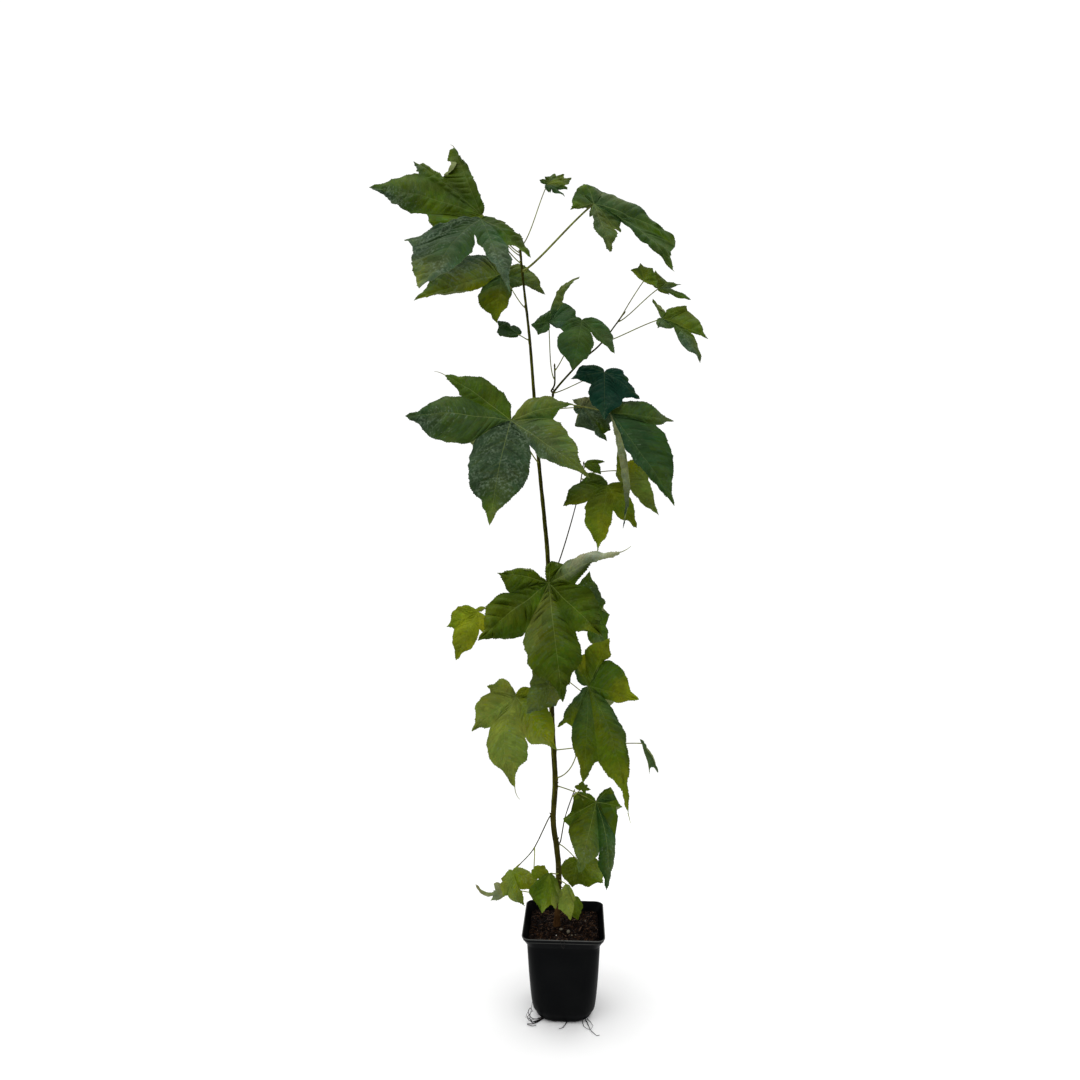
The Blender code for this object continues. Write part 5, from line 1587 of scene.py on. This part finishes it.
def build_grit(settings):
    rng = random.Random(21)
    shell = Shell()
    for x, y, width, kind in STONES:
        spot = Vector((x, y, peat_height(x, y, settings) + width * 0.16))
        add_lump(shell, rng, spot, width / 2, kind, rings=7, sides=11, rough=0.08)
    grains = [material("grit_quartz", rough_stone, "#4b453a", "#6a6252"),
              material("perlite_puffed", rough_stone, "#c2c2ba", "#9c9c94")]
    shell.build("grit", grains, "soil", smooth=60.0)


# ---- root wisps ---------------------------------------------------------------------------------
# Fine dried roots that grew out of the drain holes and cling round the foot: route and thickness.
WISPS = [
    ([(-22, -24, 0.6), (-30, -33, 0.8), (-35, -34, 3), (-36.5, -34, 9), (-34, -33.5, 14)], 0.5),
    ([(-22, -24, 0.6), (-31, -31, 1.5), (-37, -34, 4), (-38.5, -34, 8), (-35.5, -33, 12),
      (-34.5, -33, 19), (-33.5, -33, 24)], 0.42),
    ([(-24, -26, 0.5), (-33, -34, 0.7), (-39, -36, 1.2), (-34, -38, 0.8), (-29, -37, 0.7)], 0.45),
    ([(-22, -22, 0.6), (-34, -30, 2.5), (-40, -33, 6), (-41.5, -33, 7.5)], 0.3),
    ([(24, -24, 0.6), (27, -34, 0.6), (29, -41, 0.7), (33, -47, 0.5), (36, -50, 0.5),
      (38.5, -49, 0.5)], 0.5),
    ([(20, -24, 0.6), (22, -35, 0.6), (26, -40, 0.9), (29, -41, 0.6)], 0.36),
    ([(26, -22, 0.6), (31, -32, 0.7), (31.5, -38, 2.2), (29.5, -40, 0.8)], 0.3),
    ([(4, -28, 0.5), (1, -36, 0.5), (-2, -40, 0.5), (-4.5, -41, 0.5)], 0.55),
    ([(-22, -23, 0.6), (-33, -31, 4), (-38, -33, 12), (-36, -33.5, 17), (-33, -33, 13)], 0.5),
    ([(-21, -24, 0.6), (-31, -33, 2), (-36, -35, 6), (-40, -35, 10), (-37, -34, 15)], 0.4),
    ([(-20, 24, 0.6), (-27, 34, 0.6), (-24, 41, 0.6), (-17, 43, 0.5)], 0.4),
]
# One more, looped over the front of the lip.
LIP_LOOP = [(-2.5, -38, 90.5), (-3.2, -43, 95.5), (-3.0, -45.6, 97.4), (-2.4, -46.2, 94.5),
            (-0.8, -45.6, 90.5), (0.6, -44.4, 88.5), (1.4, -45.4, 92.5), (0.8, -45.9, 97.5),
            (0.2, -42.5, 96.4), (0.6, -37, 91)]
STRAND_SIDES = 6
KINK_WAVE, KINK_ASIDE, KINK_UP = 3.0, 0.5, 0.3  # small kinks in a root: how long, wide and high
ROOT_THICK, ROOT_THINS = 1.15, 0.7      # its thickness at the start against the usual, what it loses


def build_root_wisps():
    rng = random.Random(17)
    shell = Shell()
    for points, thick in [*WISPS, (LIP_LOOP, 0.34)]:
        route = smooth_route([Vector(point) for point in points], 10 * len(points))
        shift = Vector((rng.uniform(0, 9), rng.uniform(0, 9), 0.0))
        for spot in route:
            spot.x += KINK_ASIDE * noise.noise(spot / KINK_WAVE + shift)
            spot.z = max(spot.z + KINK_UP * noise.noise(spot / KINK_WAVE - shift), thick * ROOT_THICK)
        radii = [thick * (ROOT_THICK - ROOT_THINS * share) for share in parts(len(route) - 1)]
        shell.rings(tube_rings(route, radii, STRAND_SIDES, (route[1] - route[0]).normalized()), 0)
    shell.build("root_wisps", [material("root_dried", sappy_rib, "#0b0909", "#1f1a18")], "soil")


# ---- floor, light and camera --------------------------------------------------------------------
LENS, SENSOR = 25.0, 36.0
YAW = 3.0                       # degrees the camera is turned to the left
LAMPS = {
    # place, width and power of soft panels above, beside and behind the plant
    "lamp_above": ((-0.6, -0.5, 2.6), 2.2, 12.0),
    "lamp_left": ((-2.2, -1.4, 1.2), 1.6, 5.0),
    "lamp_back": ((1.4, 2.0, 1.6), 1.6, 5.0),
}
WALLS = 1.06                    # brightness of the plain white surroundings as the eye sees them
SKY_LOW, SKY_HIGH = 0.32, 1.5   # the light they give, level and from straight above
FLOOR_RADIUS, FLOOR_SIDES = 0.62, 96
AIM = Vector((0.0, 0.0, 0.5))   # what the lamps point at
CAMERA_ASIDE = 0.0172           # metres the camera stands to the right of the pot


def build_stage(settings):
    scene = bpy.context.scene
    bm = bmesh.new()
    bmesh.ops.create_circle(bm, cap_ends=True, segments=FLOOR_SIDES, radius=FLOOR_RADIUS)
    mesh = bpy.data.meshes.new("floor")
    bm.to_mesh(mesh)
    bm.free()
    mesh.materials.append(material("floor_painted", painted_board, settings.floor, "#ececec"))
    floor = place_object("floor", mesh)

    world = bpy.data.worlds.new("surroundings")
    world.use_nodes = True
    tree = world.node_tree
    white = (1.0, 1.0, 1.0, 1.0)
    heading = node(tree, "TexCoord").outputs["Generated"]
    upward = node(tree, "SeparateXYZ", {"Vector": heading}).outputs["Z"]
    glow = node(tree, "MapRange", {"Value": upward, "To Min": SKY_LOW, "To Max": SKY_HIGH})
    light = node(tree, "Background", {"Color": white, "Strength": glow})
    seen = node(tree, "Background", {"Color": white, "Strength": WALLS})
    straight = node(tree, "LightPath").outputs["Is Camera Ray"]
    mixed = node(tree, "MixShader", {0: straight, 1: light, 2: seen})
    feed(tree, tree.nodes["World Output"], {"Surface": mixed})
    scene.world = world
    scene.view_settings.view_transform = "Standard"

    for name, (place, width, power) in LAMPS.items():
        lamp = bpy.data.lights.new(name, "AREA")
        lamp.size, lamp.energy = width, power
        holder = place_object(name, lamp)
        holder.location = place
        holder.rotation_euler = (AIM - Vector(place)).to_track_quat("-Z", "Y").to_euler()

    lens = bpy.data.cameras.new("camera")
    lens.lens, lens.sensor_width = LENS, SENSOR
    camera = place_object("camera", lens)
    camera.location = (CAMERA_ASIDE, -settings.distance, settings.eye_height)
    camera.rotation_euler = (math.radians(90), 0.0, math.radians(YAW))
    scene.camera = camera


# ---- operators, panel and registration ----------------------------------------------------------
class SAPLING_OT_stem(bpy.types.Operator):
    """Grow the stem with its furrowed bark"""
    bl_idname = "sapling.stem"
    bl_label = "Stem"

    def execute(self, context):
        build_stem(context.scene.sapling_limbs)
        return {"FINISHED"}


class SAPLING_OT_twigs(bpy.types.Operator):
    """Grow the side twigs"""
    bl_idname = "sapling.twigs"
    bl_label = "Twigs"

    def execute(self, context):
        build_twigs(context.scene.sapling_limbs)
        return {"FINISHED"}


class SAPLING_OT_buds(bpy.types.Operator):
    """Set a bud above every stalk and at every tip"""
    bl_idname = "sapling.buds"
    bl_label = "Buds"

    def execute(self, context):
        build_buds(context.scene.sapling_limbs)
        return {"FINISHED"}


class SAPLING_OT_leaves(bpy.types.Operator):
    """Grow the leaves: stalks, blades, ribs and side veins"""
    bl_idname = "sapling.leaves"
    bl_label = "Leaves"

    def execute(self, context):
        build_leaves(context.scene.sapling_leaves)
        return {"FINISHED"}


class SAPLING_OT_pot(bpy.types.Operator):
    """Mould the square pot with its lip and drain holes"""
    bl_idname = "sapling.pot"
    bl_label = "Pot"

    def execute(self, context):
        build_pot(context.scene.sapling_pot)
        return {"FINISHED"}


class SAPLING_OT_peat(bpy.types.Operator):
    """Fill the pot with peat, crumbs, fibres and grit"""
    bl_idname = "sapling.peat"
    bl_label = "Peat"

    def execute(self, context):
        peat, pot = context.scene.sapling_peat, context.scene.sapling_pot
        build_peat(peat, pot)
        build_crumbs(peat, pot)
        build_fibres(peat, pot)
        build_grit(peat)
        return {"FINISHED"}


class SAPLING_OT_roots(bpy.types.Operator):
    """Add the dried root wisps round the pot's foot and over its lip"""
    bl_idname = "sapling.roots"
    bl_label = "Root wisps"

    def execute(self, context):
        build_root_wisps()
        return {"FINISHED"}


class SAPLING_OT_stage(bpy.types.Operator):
    """Set up the plain floor, the soft light and the camera"""
    bl_idname = "sapling.stage"
    bl_label = "Stage"

    def execute(self, context):
        build_stage(context.scene.sapling_stage)
        return {"FINISHED"}


class SAPLING_PT_panel(bpy.types.Panel):
    """Sizes, colours and building steps of the sapling"""
    bl_idname = "SAPLING_PT_panel"
    bl_label = "Sweetgum sapling"
    bl_space_type = "VIEW_3D"
    bl_region_type = "UI"
    bl_category = "Sapling"

    def draw(self, context):
        for name, (group, label, steps) in SECTIONS.items():
            box = self.layout.box()
            box.label(text=label)
            settings = getattr(context.scene, name)
            for prop in group.__annotations__:
                box.prop(settings, prop)
            for step in steps:
                box.operator(step.bl_idname)


SECTIONS = {
    "sapling_limbs": (LimbSettings, "Stem and twigs",
                      (SAPLING_OT_stem, SAPLING_OT_twigs, SAPLING_OT_buds)),
    "sapling_leaves": (LeafSettings, "Leaves", (SAPLING_OT_leaves,)),
    "sapling_pot": (PotSettings, "Pot", (SAPLING_OT_pot,)),
    "sapling_peat": (PeatSettings, "Peat and roots", (SAPLING_OT_peat, SAPLING_OT_roots)),
    "sapling_stage": (StageSettings, "Stage", (SAPLING_OT_stage,)),
}


def register():
    for name, (group, _, steps) in SECTIONS.items():
        bpy.utils.register_class(group)
        setattr(bpy.types.Scene, name, PointerProperty(type=group))
        for step in steps:
            bpy.utils.register_class(step)
    bpy.utils.register_class(SAPLING_PT_panel)


def unregister():
    bpy.utils.unregister_class(SAPLING_PT_panel)
    for name, (group, _, steps) in SECTIONS.items():
        for step in steps:
            bpy.utils.unregister_class(step)
        delattr(bpy.types.Scene, name)
        bpy.utils.unregister_class(group)


def main():
    register()
    bpy.ops.sapling.stem()
    bpy.ops.sapling.twigs()
    bpy.ops.sapling.buds()
    bpy.ops.sapling.leaves()
    bpy.ops.sapling.pot()
    bpy.ops.sapling.peat()
    bpy.ops.sapling.roots()
    bpy.ops.sapling.stage()


if __name__ == "__main__":
    main()
